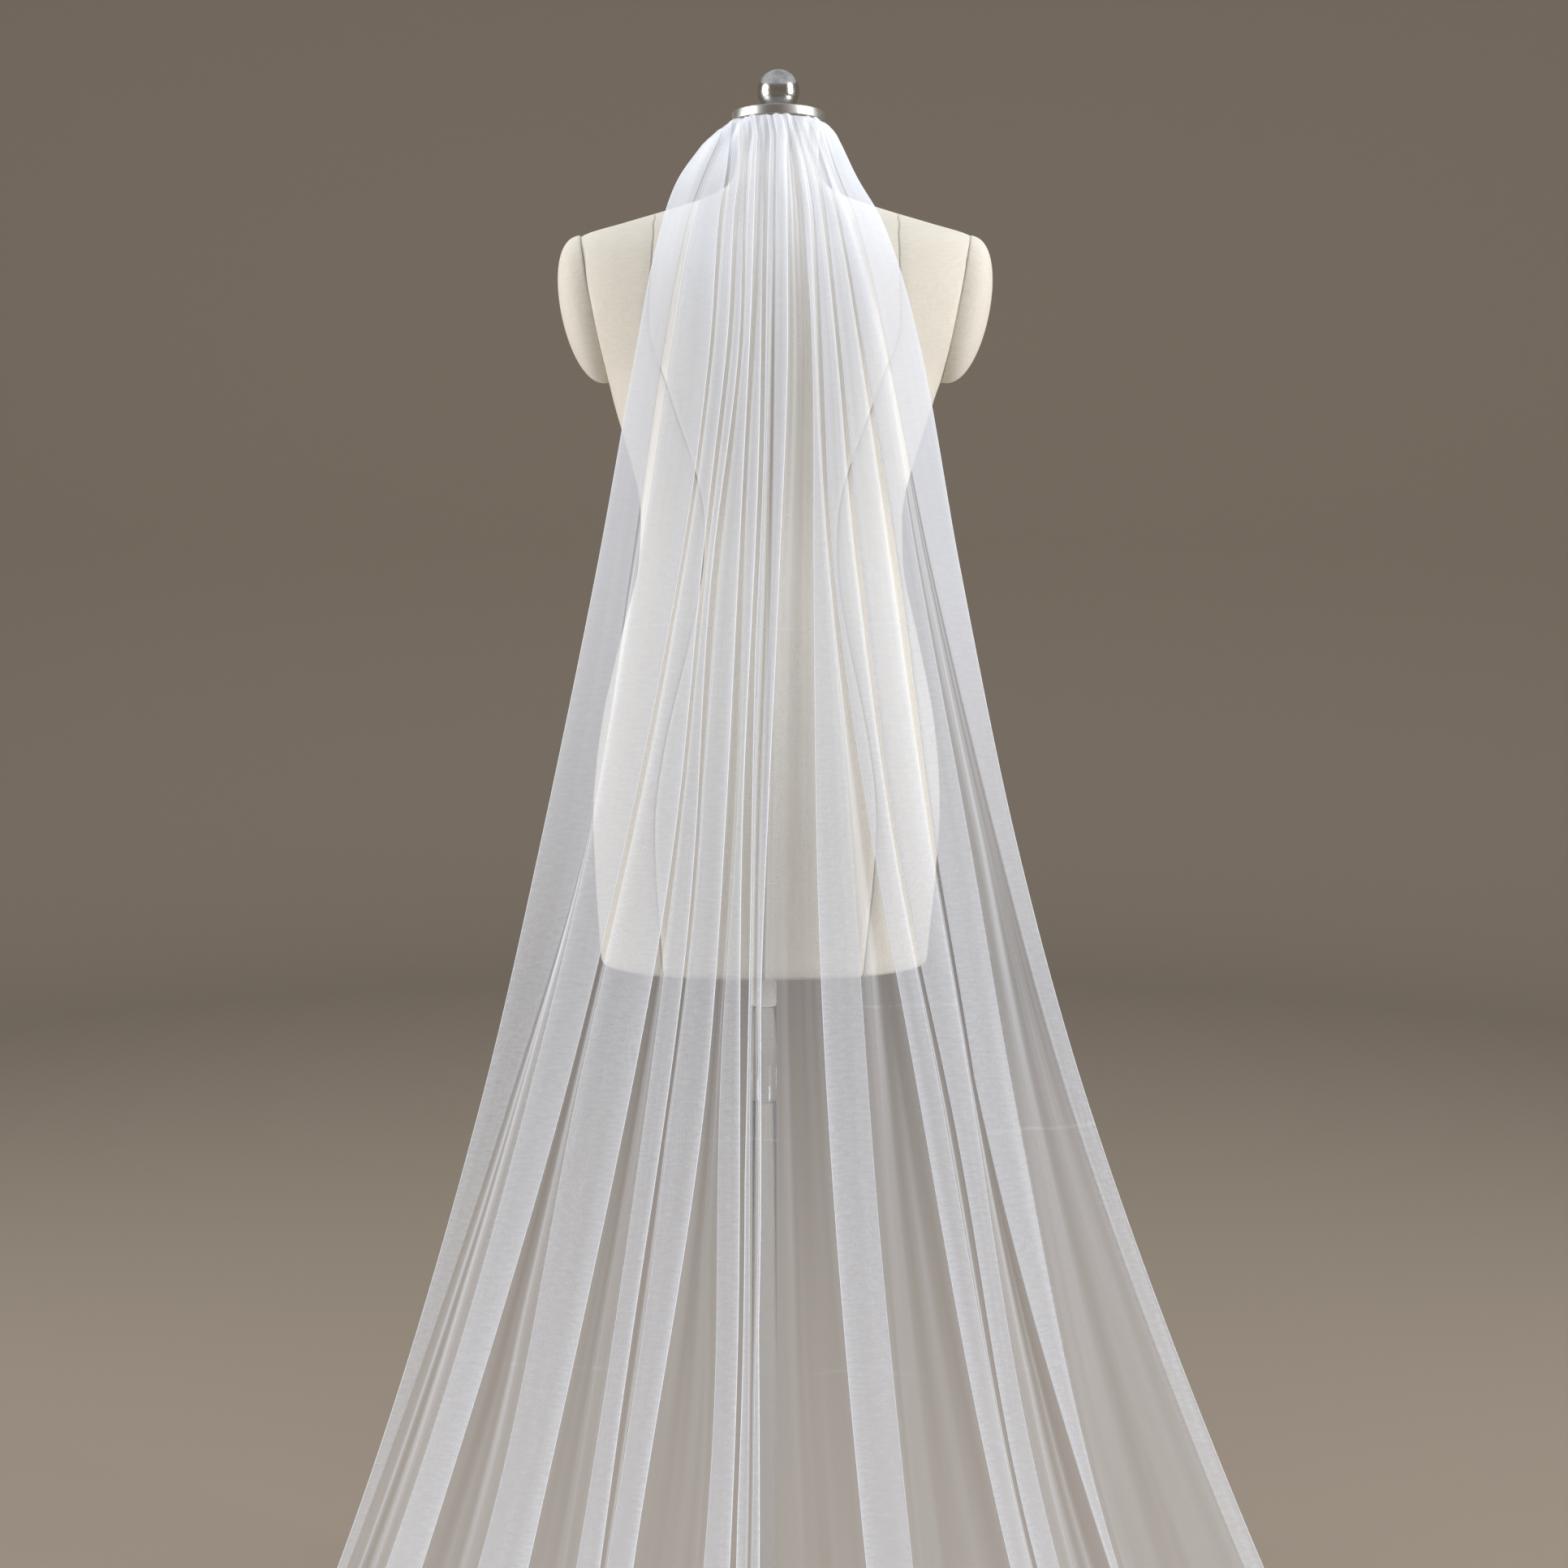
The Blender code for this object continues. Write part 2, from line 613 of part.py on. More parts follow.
def place_on_veil(row, arc, height, middle, radius, half, lengths):
    """Point of the veil in space: an arc round the form, moved out by a height."""
    behind, z, _ = FALL[row]
    outward, upward = fall_slope(row)
    turn = arc / radius
    drawn = hem_shift(row, arc, half, lengths)
    x = middle + radius * math.sin(turn) + math.sin(turn) * outward * height
    y = -behind + drawn + radius * (1 - math.cos(turn)) - math.cos(turn) * outward * height
    return (x, y, z + upward * height)


def build_veil(parts, material):
    lengths = fall_lengths()
    shin, _, _ = row_folds(LEVELS["shin"][0], lengths)
    eases = [round((b[1] - a[2]) / EASE_SPACING) for a, b in zip(shin, shin[1:])]
    outer, inner = [], []
    for row in range(len(FALL)):
        places, middle, radius = row_folds(row, lengths)
        spacing = level_value(lengths[row], 1, lengths)
        ridge = level_value(lengths[row], 2, lengths)
        faces = both_faces(section_line(places, spacing, ridge, eases))
        half = (places[-1][2] - places[0][1]) / 2
        for grid, line in zip((outer, inner), faces):
            grid.append([place_on_veil(row, a, h, middle, radius, half, lengths)
                         for a, h in line])
    veil = closed_grid("veil", outer, inner, parts, material)
    veil.data.shade_smooth()
    veil.data.set_sharp_from_angle(angle=SHARP_ANGLE)


def build():
    clear_scene()
    parts, cutters = make_collections()
    materials = {name: make_material(name) for name in COLOURS}
    build_stand(parts, materials)
    build_torso(parts, cutters, materials["linen"])
    build_cap("left", -1, parts, materials["linen"])
    build_cap("right", 1, parts, materials["linen"])
    build_neck(parts, materials)
    build_comb(parts, cutters, materials["acrylic"])
    build_veil(parts, materials["tulle"])


build()
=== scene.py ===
import math

import bmesh
import bpy
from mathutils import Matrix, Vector


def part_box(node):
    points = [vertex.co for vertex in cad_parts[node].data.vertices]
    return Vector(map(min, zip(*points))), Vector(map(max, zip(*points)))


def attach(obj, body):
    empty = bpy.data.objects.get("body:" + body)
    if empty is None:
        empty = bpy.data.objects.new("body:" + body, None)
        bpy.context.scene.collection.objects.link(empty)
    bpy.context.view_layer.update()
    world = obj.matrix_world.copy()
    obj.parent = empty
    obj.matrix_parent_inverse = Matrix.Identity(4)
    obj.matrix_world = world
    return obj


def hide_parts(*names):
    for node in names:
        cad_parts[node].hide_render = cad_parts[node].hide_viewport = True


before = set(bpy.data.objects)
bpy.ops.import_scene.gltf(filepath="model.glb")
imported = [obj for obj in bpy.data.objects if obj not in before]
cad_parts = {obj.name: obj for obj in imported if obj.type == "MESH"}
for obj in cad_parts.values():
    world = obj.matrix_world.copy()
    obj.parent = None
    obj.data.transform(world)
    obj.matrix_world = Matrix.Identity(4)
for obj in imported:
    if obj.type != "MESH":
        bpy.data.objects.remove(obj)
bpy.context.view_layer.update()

# Viewpoint. The form is seen squarely from behind, a little below its shoulders' height, from
# two metres away, so the neck plate is seen from below and the train from above.
FOCAL_PIXELS = 2525.0
PHOTO_SIDE = 1932.0
SENSOR_WIDTH = 36.0
CAMERA_PLACE = (0.020, -2.020, 1.155)
CAMERA_TILT = math.radians(6.24)

camera_data = bpy.data.cameras.new("camera")
camera_data.sensor_width = SENSOR_WIDTH
camera_data.lens = FOCAL_PIXELS / PHOTO_SIDE * SENSOR_WIDTH
camera = bpy.data.objects.new("camera", camera_data)
camera.location = CAMERA_PLACE
camera.rotation_euler = (math.pi / 2 - CAMERA_TILT, 0.0, 0.0)
bpy.context.scene.collection.objects.link(camera)
bpy.context.scene.camera = camera


# Base. A heavy turned steel disc with a rolled edge stands on the floor, and a turned collar
# screwed to its middle holds the pole. Both are brushed round their axis.
BASE_EDGE = 0.0022
COLLAR_EDGE = 0.0014
TURNED_SIDES = 128
STEEL_COLOUR = (0.56, 0.555, 0.54, 1.0)


def clear_selection():
    bpy.ops.object.select_all(action="DESELECT")


def apply_all(piece):
    """Makes the modifiers and the place part of the mesh, so the piece sits at the origin."""
    clear_selection()
    bpy.context.view_layer.objects.active = piece
    piece.select_set(True)
    for modifier in list(piece.modifiers):
        bpy.ops.object.modifier_apply(modifier=modifier.name)
    bpy.ops.object.transform_apply(location=True, rotation=True, scale=True)


def smooth_to(piece, degrees):
    clear_selection()
    bpy.context.view_layer.objects.active = piece
    piece.select_set(True)
    bpy.ops.object.shade_smooth_by_angle(angle=math.radians(degrees))


def dress(piece, name, slot, material, *nodes):
    """Names a finished piece, gives it its material and puts it in place of its nodes."""
    piece.name = name
    piece.data.name = name
    piece.data.materials.clear()
    piece.data.materials.append(material)
    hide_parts(*nodes)
    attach(piece, "root")


def bevelled(piece, width, segments=4):
    edge = piece.modifiers.new("Rolled edge", "BEVEL")
    edge.width = width
    edge.segments = segments
    edge.limit_method = "ANGLE"
    return piece


def turned_disc(node, edge):
    """Upright disc or drum with the size and place of a node, and rolled edges."""
    low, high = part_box(node)
    clear_selection()
    bpy.ops.mesh.primitive_cylinder_add(
        vertices=TURNED_SIDES, radius=(high[0] - low[0]) / 2, depth=high[2] - low[2],
        location=[(a + b) / 2 for a, b in zip(low, high)])
    piece = bevelled(bpy.context.active_object, edge)
    apply_all(piece)
    smooth_to(piece, 35)
    return piece


def new_material(name, colour, roughness, metallic=0.0):
    """Material with one Principled shader, as (material, its tree, the shader)."""
    material = bpy.data.materials.new(name)
    material.use_nodes = True
    tree = material.node_tree
    shader = tree.nodes["Principled BSDF"]
    shader.inputs["Base Color"].default_value = colour
    shader.inputs["Roughness"].default_value = roughness
    shader.inputs["Metallic"].default_value = metallic
    return material, tree, shader


def add_node(tree, kind, **values):
    """New node of a kind, with its own settings or the values of its inputs."""
    node = tree.nodes.new(kind)
    for key, value in values.items():
        if key in node.bl_rna.properties and key != "inputs":
            setattr(node, key, value)
        else:
            node.inputs[key.replace("_", " ")].default_value = value
    return node


def math_node(tree, operation, first, second=None, clamp=False):
    """Math node whose inputs are sockets or numbers, as its output socket."""
    node = tree.nodes.new("ShaderNodeMath")
    node.operation = operation
    node.use_clamp = clamp
    for socket, value in zip(node.inputs, (first, second)):
        if isinstance(value, (int, float)):
            socket.default_value = value
        elif value is not None:
            tree.links.new(value, socket)
    return node.outputs[0]


def mixed_colour(tree, share, first, second):
    """Colour between two colours or colour sockets, as its output socket."""
    node = tree.nodes.new("ShaderNodeMix")
    node.data_type = "RGBA"
    sockets = (node.inputs[0], node.inputs[6], node.inputs[7])
    for socket, value in zip(sockets, (share, first, second)):
        if isinstance(value, (int, float, tuple)):
            socket.default_value = value
        else:
            tree.links.new(value, socket)
    return node.outputs[2]


def new_group(name, inputs, outputs):
    """Empty effect group with named sockets, as (group, its input node, its output node)."""
    group = bpy.data.node_groups.new(name, "ShaderNodeTree")
    for socket, kind, value in inputs:
        made = group.interface.new_socket(name=socket, in_out="INPUT", socket_type=kind)
        if value is not None:
            made.default_value = value
    for socket, kind in outputs:
        group.interface.new_socket(name=socket, in_out="OUTPUT", socket_type=kind)
    return group, group.nodes.new("NodeGroupInput"), group.nodes.new("NodeGroupOutput")


def place_group(tree, group, **values):
    """Puts an effect group in a material's tree, with its input values or sockets."""
    node = tree.nodes.new("ShaderNodeGroup")
    node.node_tree = group
    for key, value in values.items():
        socket = node.inputs[key.replace("_", " ")]
        if isinstance(value, (int, float, tuple)):
            socket.default_value = value
        else:
            tree.links.new(value, socket)
    return node


def bump(tree, height, strength, distance):
    node = add_node(tree, "ShaderNodeBump", Strength=strength, Distance=distance)
    tree.links.new(height, node.inputs["Height"])
    return node.outputs["Normal"]


def handling_group():
    """Cloudy smudges and a little dust, as a rise in roughness and a mask for dust."""
    group, given, result = new_group(
        "handling", [("Vector", "NodeSocketVector", None), ("Scale", "NodeSocketFloat", 30.0)],
        [("Smudge", "NodeSocketFloat"), ("Dust", "NodeSocketFloat")])
    cloud = add_node(group, "ShaderNodeTexNoise", Detail=4.0, Roughness=0.6)
    fine = add_node(group, "ShaderNodeTexNoise", Detail=2.0, Roughness=0.5)
    for node, times in ((cloud, 1.0), (fine, 14.0)):
        group.links.new(given.outputs["Vector"], node.inputs["Vector"])
        group.links.new(math_node(group, "MULTIPLY", given.outputs["Scale"], times),
                        node.inputs["Scale"])
    smudge = add_node(group, "ShaderNodeMapRange", From_Min=0.42, From_Max=0.70)
    group.links.new(cloud.outputs["Fac"], smudge.inputs["Value"])
    dust = add_node(group, "ShaderNodeMapRange", From_Min=0.62, From_Max=0.72)
    group.links.new(fine.outputs["Fac"], dust.inputs["Value"])
    group.links.new(smudge.outputs["Result"], result.inputs["Smudge"])
    group.links.new(dust.outputs["Result"], result.inputs["Dust"])
    return group


HANDLING = handling_group()


def brushed_steel(name, centre):
    """Steel with fine lines that run round an upright axis through centre."""
    material, tree, shader = new_material(name, STEEL_COLOUR, 0.30, 1.0)
    shader.inputs["Anisotropic"].default_value = 0.55
    place = add_node(tree, "ShaderNodeTexCoord")
    shift = tree.nodes.new("ShaderNodeMapping")
    shift.inputs["Location"].default_value = (-centre[0], -centre[1], 0.0)
    tree.links.new(place.outputs["Object"], shift.inputs["Vector"])
    split = tree.nodes.new("ShaderNodeSeparateXYZ")
    tree.links.new(shift.outputs["Vector"], split.inputs["Vector"])
    squares = [math_node(tree, "POWER", split.outputs[k], 2.0) for k in (0, 1)]
    radius = math_node(tree, "SQRT", math_node(tree, "ADD", *squares))
    lines = tree.nodes.new("ShaderNodeCombineXYZ")
    tree.links.new(math_node(tree, "MULTIPLY", radius, 2600.0), lines.inputs["X"])
    tree.links.new(math_node(tree, "MULTIPLY", split.outputs[2], 2600.0), lines.inputs["Y"])
    grain = add_node(tree, "ShaderNodeTexNoise", Scale=1.0, Detail=2.0, Roughness=0.7)
    tree.links.new(lines.outputs["Vector"], grain.inputs["Vector"])
    wear = place_group(tree, HANDLING, Vector=place.outputs["Object"], Scale=22.0)
    rough = math_node(tree, "MULTIPLY_ADD", wear.outputs["Smudge"], 0.14)
    rough.node.inputs[2].default_value = 0.25
    rough = math_node(tree, "ADD", rough, math_node(tree, "MULTIPLY", grain.outputs["Fac"], 0.12))
    tree.links.new(rough, shader.inputs["Roughness"])
    tree.links.new(bump(tree, grain.outputs["Fac"], 0.25, 0.00008), shader.inputs["Normal"])
    tone = mixed_colour(tree, grain.outputs["Fac"], (0.47, 0.465, 0.45, 1.0), STEEL_COLOUR)
    tree.links.new(tone, shader.inputs["Base Color"])
    return material


base_steel = brushed_steel("base_steel", (0.0, 0.0))
base = turned_disc("base_plate", BASE_EDGE)
dress(base, "base", "brushed_steel", base_steel, "base_plate")
collar = turned_disc("base_collar", COLLAR_EDGE)
dress(collar, "collar", "brushed_steel", base_steel, "base_collar")


# Pole. Two clear acrylic tubes stand end to end, their cut ends polished, and a white plastic
# sleeve at the top plugs into the underside of the form.
TUBE_WALL = 0.0042
TUBE_EDGE = 0.0005
ACRYLIC_COLOUR = (0.94, 0.945, 0.94, 1.0)
SLEEVE_COLOUR = (0.74, 0.73, 0.70, 1.0)


def tube(node, wall, edge):
    """Upright tube with the outside size and place of a node, open at both ends."""
    low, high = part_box(node)
    clear_selection()
    bpy.ops.mesh.primitive_cylinder_add(
        vertices=96, radius=(high[0] - low[0]) / 2, depth=high[2] - low[2],
        end_fill_type="NOTHING", location=[(a + b) / 2 for a, b in zip(low, high)])
    piece = bpy.context.active_object
    thick = piece.modifiers.new("Wall", "SOLIDIFY")
    thick.thickness = wall
    thick.offset = -1.0
    bevelled(piece, edge, 3)
    apply_all(piece)
    smooth_to(piece, 35)
    return piece


def clear_acrylic():
    material, tree, shader = new_material("clear_acrylic", ACRYLIC_COLOUR, 0.03)
    shader.inputs["Transmission Weight"].default_value = 0.96
    shader.inputs["IOR"].default_value = 1.49
    place = add_node(tree, "ShaderNodeTexCoord")
    wear = place_group(tree, HANDLING, Vector=place.outputs["Object"], Scale=18.0)
    rough = math_node(tree, "MULTIPLY_ADD", wear.outputs["Smudge"], 0.05)
    rough.node.inputs[2].default_value = 0.02
    tree.links.new(rough, shader.inputs["Roughness"])
    return material


def sleeve_plastic():
    material, tree, shader = new_material("sleeve_plastic", SLEEVE_COLOUR, 0.42)
    place = add_node(tree, "ShaderNodeTexCoord")
    wear = place_group(tree, HANDLING, Vector=place.outputs["Object"], Scale=40.0)
    tone = mixed_colour(tree, math_node(tree, "MULTIPLY", wear.outputs["Smudge"], 0.35),
                        SLEEVE_COLOUR, (0.66, 0.65, 0.61, 1.0))
    tree.links.new(tone, shader.inputs["Base Color"])
    orange = add_node(tree, "ShaderNodeTexNoise", Scale=900.0, Detail=2.0)
    tree.links.new(place.outputs["Object"], orange.inputs["Vector"])
    tree.links.new(bump(tree, orange.outputs["Fac"], 0.2, 0.0001), shader.inputs["Normal"])
    return material


acrylic = clear_acrylic()
for node, name in (("pole_lower", "lower_tube"), ("pole_upper", "upper_tube")):
    dress(tube(node, TUBE_WALL, TUBE_EDGE), name, "acrylic", acrylic, node)
sleeve = turned_disc("pole_socket", 0.0012)
dress(sleeve, "sleeve", "white_plastic", sleeve_plastic(), "pole_socket")


# Form. A hollow shell is padded and covered in ivory linen, cut in eight panels whose seams
# run from the shoulders and neck to the hem. The armholes are flat. The panels at the middle
# of the back are topstitched on both sides of their seam.
LEAN = 0.018
FORM_SECTIONS = [
    (0.757, 0.162, 0.103, 0.092, 2.3),
    (0.800, 0.1655, 0.108, 0.096, 2.3),
    (0.850, 0.169, 0.114, 0.100, 2.3),
    (0.920, 0.171, 0.117, 0.103, 2.3),
    (1.000, 0.163, 0.109, 0.101, 2.25),
    (1.080, 0.1455, 0.095, 0.096, 2.2),
    (1.140, 0.131, 0.085, 0.091, 2.2),
    (1.176, 0.128, 0.083, 0.091, 2.2),
    (1.210, 0.1285, 0.086, 0.098, 2.2),
    (1.240, 0.135, 0.092, 0.107, 2.2),
    (1.290, 0.150, 0.101, 0.118, 2.2),
    (1.330, 0.163, 0.105, 0.112, 2.2),
    (1.370, 0.185, 0.1045, 0.099, 2.2),
    (1.410, 0.198, 0.098, 0.085, 2.15),
    (1.445, 0.198, 0.085, 0.069, 2.0),
    (1.464, 0.188, 0.073, 0.058, 1.8),
    (1.476, 0.150, 0.064, 0.052, 1.7),
    (1.488, 0.108, 0.056, 0.048, 1.7),
    (1.500, 0.070, 0.050, 0.045, 1.8),
    (1.512, 0.048, 0.0455, 0.043, 1.95),
    (1.530, 0.040, 0.040, 0.040, 2.0),
    (1.5707, 0.040, 0.040, 0.040, 2.0),
]
FORM_BOTTOM_Z = FORM_SECTIONS[0][0]
FORM_RINGS = 150
PANEL_COLUMNS = 14
FORM_EDGE = 0.004
ARMHOLE_Z = 1.396
ARMHOLE_X = 0.1735
ARMHOLE_TILT = math.radians(11.0)
ARMHOLE_LOWEST_Z = 1.26
SEAM_DEPTH = 0.0011
SEAM_HALF_WIDTH = 0.0016
SEAM_HEIGHTS = [0.757, 0.92, 1.176, 1.34, 1.41, 1.445, 1.464, 1.476, 1.486, 1.5707]
BACK_SEAM_SHARES = [0.55, 0.57, 0.46, 0.62, 0.565, 0.583, 0.645, 0.80, 0.96, 0.97]
FRONT_SEAM_SHARES = [0.52, 0.53, 0.42, 0.50, 0.56, 0.60, 0.66, 0.80, 0.96, 0.97]
LINEN_COLOUR = (0.84, 0.805, 0.725, 1.0)
LINEN_DARK = (0.75, 0.71, 0.62, 1.0)
THREAD_COLOUR = (0.60, 0.57, 0.50, 1.0)
# Dark brown of the painted shade along the seams
SEAM_SHADE_COLOUR = (0.26, 0.225, 0.165, 1.0)
STITCH_LENGTH = 0.0024
STITCH_PITCH = 0.0034
STITCH_RADIUS = 0.00022
STITCH_OFFSET = 0.0030


def lean_x(z):
    return LEAN * (z - FORM_BOTTOM_Z)


def curve_through(knots, values, at):
    """Smooth curve through values at rising knots, read at one place."""
    last = len(knots) - 1
    at = min(max(at, knots[0]), knots[last])
    i = max(k for k in range(last) if knots[k] <= at)

    def slope(k):
        low, high = max(k - 1, 0), min(k + 1, last)
        return (values[high] - values[low]) / (knots[high] - knots[low])

    span = knots[i + 1] - knots[i]
    t = (at - knots[i]) / span
    rise = t * t * (3 - 2 * t)
    start = t * (1 - t) * (1 - t) * span * slope(i)
    end = t * t * (t - 1) * span * slope(i + 1)
    return values[i] + (values[i + 1] - values[i]) * rise + start + end


def form_point(z, turn, sink=0.0):
    """Point of the form's surface at a height and a turn from its side at +X."""
    heights = [section[0] for section in FORM_SECTIONS]
    half_width, back, front, power = (
        curve_through(heights, [section[k] for section in FORM_SECTIONS], z)
        for k in (1, 2, 3, 4))
    across, along = math.cos(turn), math.sin(turn)
    depth = front if along > 0 else back
    x = half_width * math.copysign(abs(across) ** (2 / power), across)
    y = depth * math.copysign(abs(along) ** (2 / power), along)
    size = math.hypot(x, y)
    return Vector((x * (1 - sink / size) + lean_x(z), y * (1 - sink / size), z))


def seam_turns(z):
    """Turns of the eight seams at a height, from the side at +X round to the back."""
    back = math.acos(curve_through(SEAM_HEIGHTS, BACK_SEAM_SHARES, z))
    front = math.acos(curve_through(SEAM_HEIGHTS, FRONT_SEAM_SHARES, z))
    return [0.0, front, math.pi / 2, math.pi - front, math.pi, math.pi + back,
            3 * math.pi / 2, 2 * math.pi - back]


def form_ring(z, sink=0.0):
    """Points round the form at one height: each panel has its columns, close at its seams."""
    seams = seam_turns(z)
    heights = [section[0] for section in FORM_SECTIONS]
    width = curve_through(heights, [section[1] for section in FORM_SECTIONS], z)
    beside = SEAM_HALF_WIDTH / width
    ring = []
    for k, start in enumerate(seams):
        end = seams[k + 1] if k < 7 else seams[0] + 2 * math.pi
        ring.append(form_point(z, start, SEAM_DEPTH + sink))
        for n in range(PANEL_COLUMNS + 1):
            turn = start + beside + (end - start - 2 * beside) * n / PANEL_COLUMNS
            ring.append(form_point(z, turn, sink))
    return ring


def form_rings():
    heights = [section[0] for section in FORM_SECTIONS]
    steps = len(heights) - 1
    spread = [steps * k / (FORM_RINGS - 1) for k in range(1, FORM_RINGS)]
    rolled = [(0.0, 1.0), (0.3, 0.3), (1.0, 0.0)]
    rings = [form_ring(FORM_BOTTOM_Z + FORM_EDGE * up, FORM_EDGE * sink) for up, sink in rolled]
    for s in spread:
        z = curve_through(list(range(steps + 1)), heights, s)
        if z > FORM_BOTTOM_Z + 2 * FORM_EDGE:
            rings.append(form_ring(z))
    return rings


def lay_uv(piece, places):
    """Gives each corner of a piece the place on its cloth that its point has, in metres."""
    layer = piece.data.uv_layers.active or piece.data.uv_layers.new(name="UVMap")
    for loop in piece.data.loops:
        layer.data[loop.index].uv = places[loop.vertex_index]


def build_form():
    """Starts as one ring at the hem of the form and is drawn up ring by ring."""
    rings = form_rings()
    clear_selection()
    bpy.ops.mesh.primitive_circle_add(vertices=len(rings[0]), radius=0.1, fill_type="NGON")
    form = bpy.context.active_object
    bpy.ops.object.mode_set(mode="EDIT")
    bpy.ops.mesh.select_all(action="SELECT")
    shape = bmesh.from_edit_mesh(form.data)
    for point, place in zip(shape.verts, rings[0]):
        point.co = place
    for ring in rings[1:]:
        bpy.ops.mesh.extrude_region_move()
        shape = bmesh.from_edit_mesh(form.data)
        rim = [point for point in shape.verts if point.select]
        for point, place in zip(rim, ring):
            point.co = place
        bmesh.update_edit_mesh(form.data)
    bpy.ops.mesh.select_all(action="SELECT")
    bpy.ops.mesh.normals_make_consistent(inside=False)
    bpy.ops.object.mode_set(mode="OBJECT")
    places = []
    for ring in rings:
        around = 0.0
        for k, point in enumerate(ring):
            around += (point - ring[k - 1]).length if k else 0.0
            places.append((around, point.z))
    lay_uv(form, places)
    # Marks the points on the seams, where the linen is darkened with painted shade.
    seams = form.data.attributes.new("seam", "FLOAT", "POINT")
    seams.data.foreach_set("value", [float(k % (PANEL_COLUMNS + 2) == 0)
                                     for ring in rings for k in range(len(ring))])
    return form


def cut_armholes(piece):
    """Cuts both sides flat on the armholes' planes, and closes the cuts."""
    bpy.ops.object.mode_set(mode="EDIT")
    for sign in (-1, 1):
        bpy.ops.mesh.select_all(action="DESELECT")
        shape = bmesh.from_edit_mesh(piece.data)
        for face in shape.faces:
            face.select = face.calc_center_median().z > ARMHOLE_LOWEST_Z
        bmesh.update_edit_mesh(piece.data)
        bpy.ops.mesh.bisect(
            plane_co=(lean_x(ARMHOLE_Z) + sign * ARMHOLE_X, 0.0, ARMHOLE_Z),
            plane_no=(sign * math.cos(ARMHOLE_TILT), 0.0, -math.sin(ARMHOLE_TILT)),
            use_fill=True, clear_outer=True)
    bpy.ops.object.mode_set(mode="OBJECT")


def woven_group():
    """Plain weave with slubs, on a cloth's own places in metres."""
    group, given, result = new_group(
        "woven", [("Vector", "NodeSocketVector", None), ("Threads", "NodeSocketFloat", 1000.0),
                  ("Slub", "NodeSocketFloat", 0.5)],
        [("Height", "NodeSocketFloat"), ("Tone", "NodeSocketFloat")])
    split = group.nodes.new("ShaderNodeSeparateXYZ")
    group.links.new(given.outputs["Vector"], split.inputs["Vector"])
    turns = math_node(group, "MULTIPLY", given.outputs["Threads"], math.pi)
    crossings = [math_node(group, "COSINE", math_node(group, "MULTIPLY", split.outputs[k], turns))
                 for k in (0, 1)]
    knit = math_node(group, "MULTIPLY", *crossings)
    slubs = []
    for across, along in ((900.0, 70.0), (70.0, 900.0)):
        stretch = group.nodes.new("ShaderNodeCombineXYZ")
        for socket, size, k in (("X", across, 0), ("Y", along, 1)):
            group.links.new(math_node(group, "MULTIPLY", split.outputs[k], size),
                            stretch.inputs[socket])
        noise = add_node(group, "ShaderNodeTexNoise", Scale=1.0, Detail=3.0, Roughness=0.6)
        group.links.new(stretch.outputs["Vector"], noise.inputs["Vector"])
        slubs.append(noise.outputs["Fac"])
    tone = math_node(group, "MULTIPLY", math_node(group, "ADD", *slubs), 0.5)
    thick = math_node(group, "MULTIPLY", tone, given.outputs["Slub"])
    height = math_node(group, "ADD", math_node(group, "MULTIPLY", knit, 0.25), thick)
    group.links.new(height, result.inputs["Height"])
    group.links.new(tone, result.inputs["Tone"])
    return group


WOVEN = woven_group()


def linen_cover():
    material, tree, shader = new_material("linen_cover", LINEN_COLOUR, 0.86)
    shader.inputs["Sheen Weight"].default_value = 0.25
    shader.inputs["Sheen Roughness"].default_value = 0.5
    shader.inputs["Specular IOR Level"].default_value = 0.25
    cloth = tree.nodes.new("ShaderNodeUVMap")
    cloth.uv_map = "UVMap"
    place = add_node(tree, "ShaderNodeTexCoord")
    weave = place_group(tree, WOVEN, Vector=cloth.outputs["UV"], Threads=1400.0, Slub=0.9)
    wear = place_group(tree, HANDLING, Vector=place.outputs["Object"], Scale=9.0)
    tone = add_node(tree, "ShaderNodeMapRange", From_Min=0.38, From_Max=0.62)
    tree.links.new(weave.outputs["Tone"], tone.inputs["Value"])
    cover = mixed_colour(tree, tone.outputs["Result"], LINEN_DARK, LINEN_COLOUR)
    worn = mixed_colour(tree, math_node(tree, "MULTIPLY", wear.outputs["Smudge"], 0.16),
                        cover, (0.70, 0.64, 0.53, 1.0))
    # The points on the seams are darkened towards a dark brown: painted shade in the seams'
    # narrow grooves.
    seam = tree.nodes.new("ShaderNodeAttribute")
    seam.attribute_name = "seam"
    seam_shaded = mixed_colour(tree, math_node(tree, "MULTIPLY", seam.outputs["Fac"], 0.75), worn,
                        SEAM_SHADE_COLOUR)
    tree.links.new(seam_shaded, shader.inputs["Base Color"])
    tree.links.new(bump(tree, weave.outputs["Height"], 0.45, 0.0006), shader.inputs["Normal"])
    return material


linen = linen_cover()
form = build_form()
cut_armholes(form)
smooth_to(form, 50)
dress(form, "form", "linen", linen, "torso")


def stitch_row(offset):
    """Short stitches down one side of the seam at the middle of the back."""
    made = bmesh.new()
    z = FORM_BOTTOM_Z + 0.008
    while z < 1.50:
        turn = 3 * math.pi / 2 + offset / 0.16
        low, high = form_point(z, turn), form_point(z + STITCH_LENGTH, turn)
        run = (high - low).normalized()
        side = Vector((1.0, 0.0, 0.0))
        out = side.cross(run).normalized()
        middle = (low + high) / 2 + (-out if out.y > 0 else out) * STITCH_RADIUS * 0.4
        capsule = bmesh.ops.create_uvsphere(made, u_segments=6, v_segments=4, radius=1.0)
        for point in capsule["verts"]:
            x, y, up = point.co
            point.co = (middle + side * x * STITCH_RADIUS + out * y * STITCH_RADIUS
                        + run * up * STITCH_LENGTH / 2)
        z += STITCH_PITCH
    return made


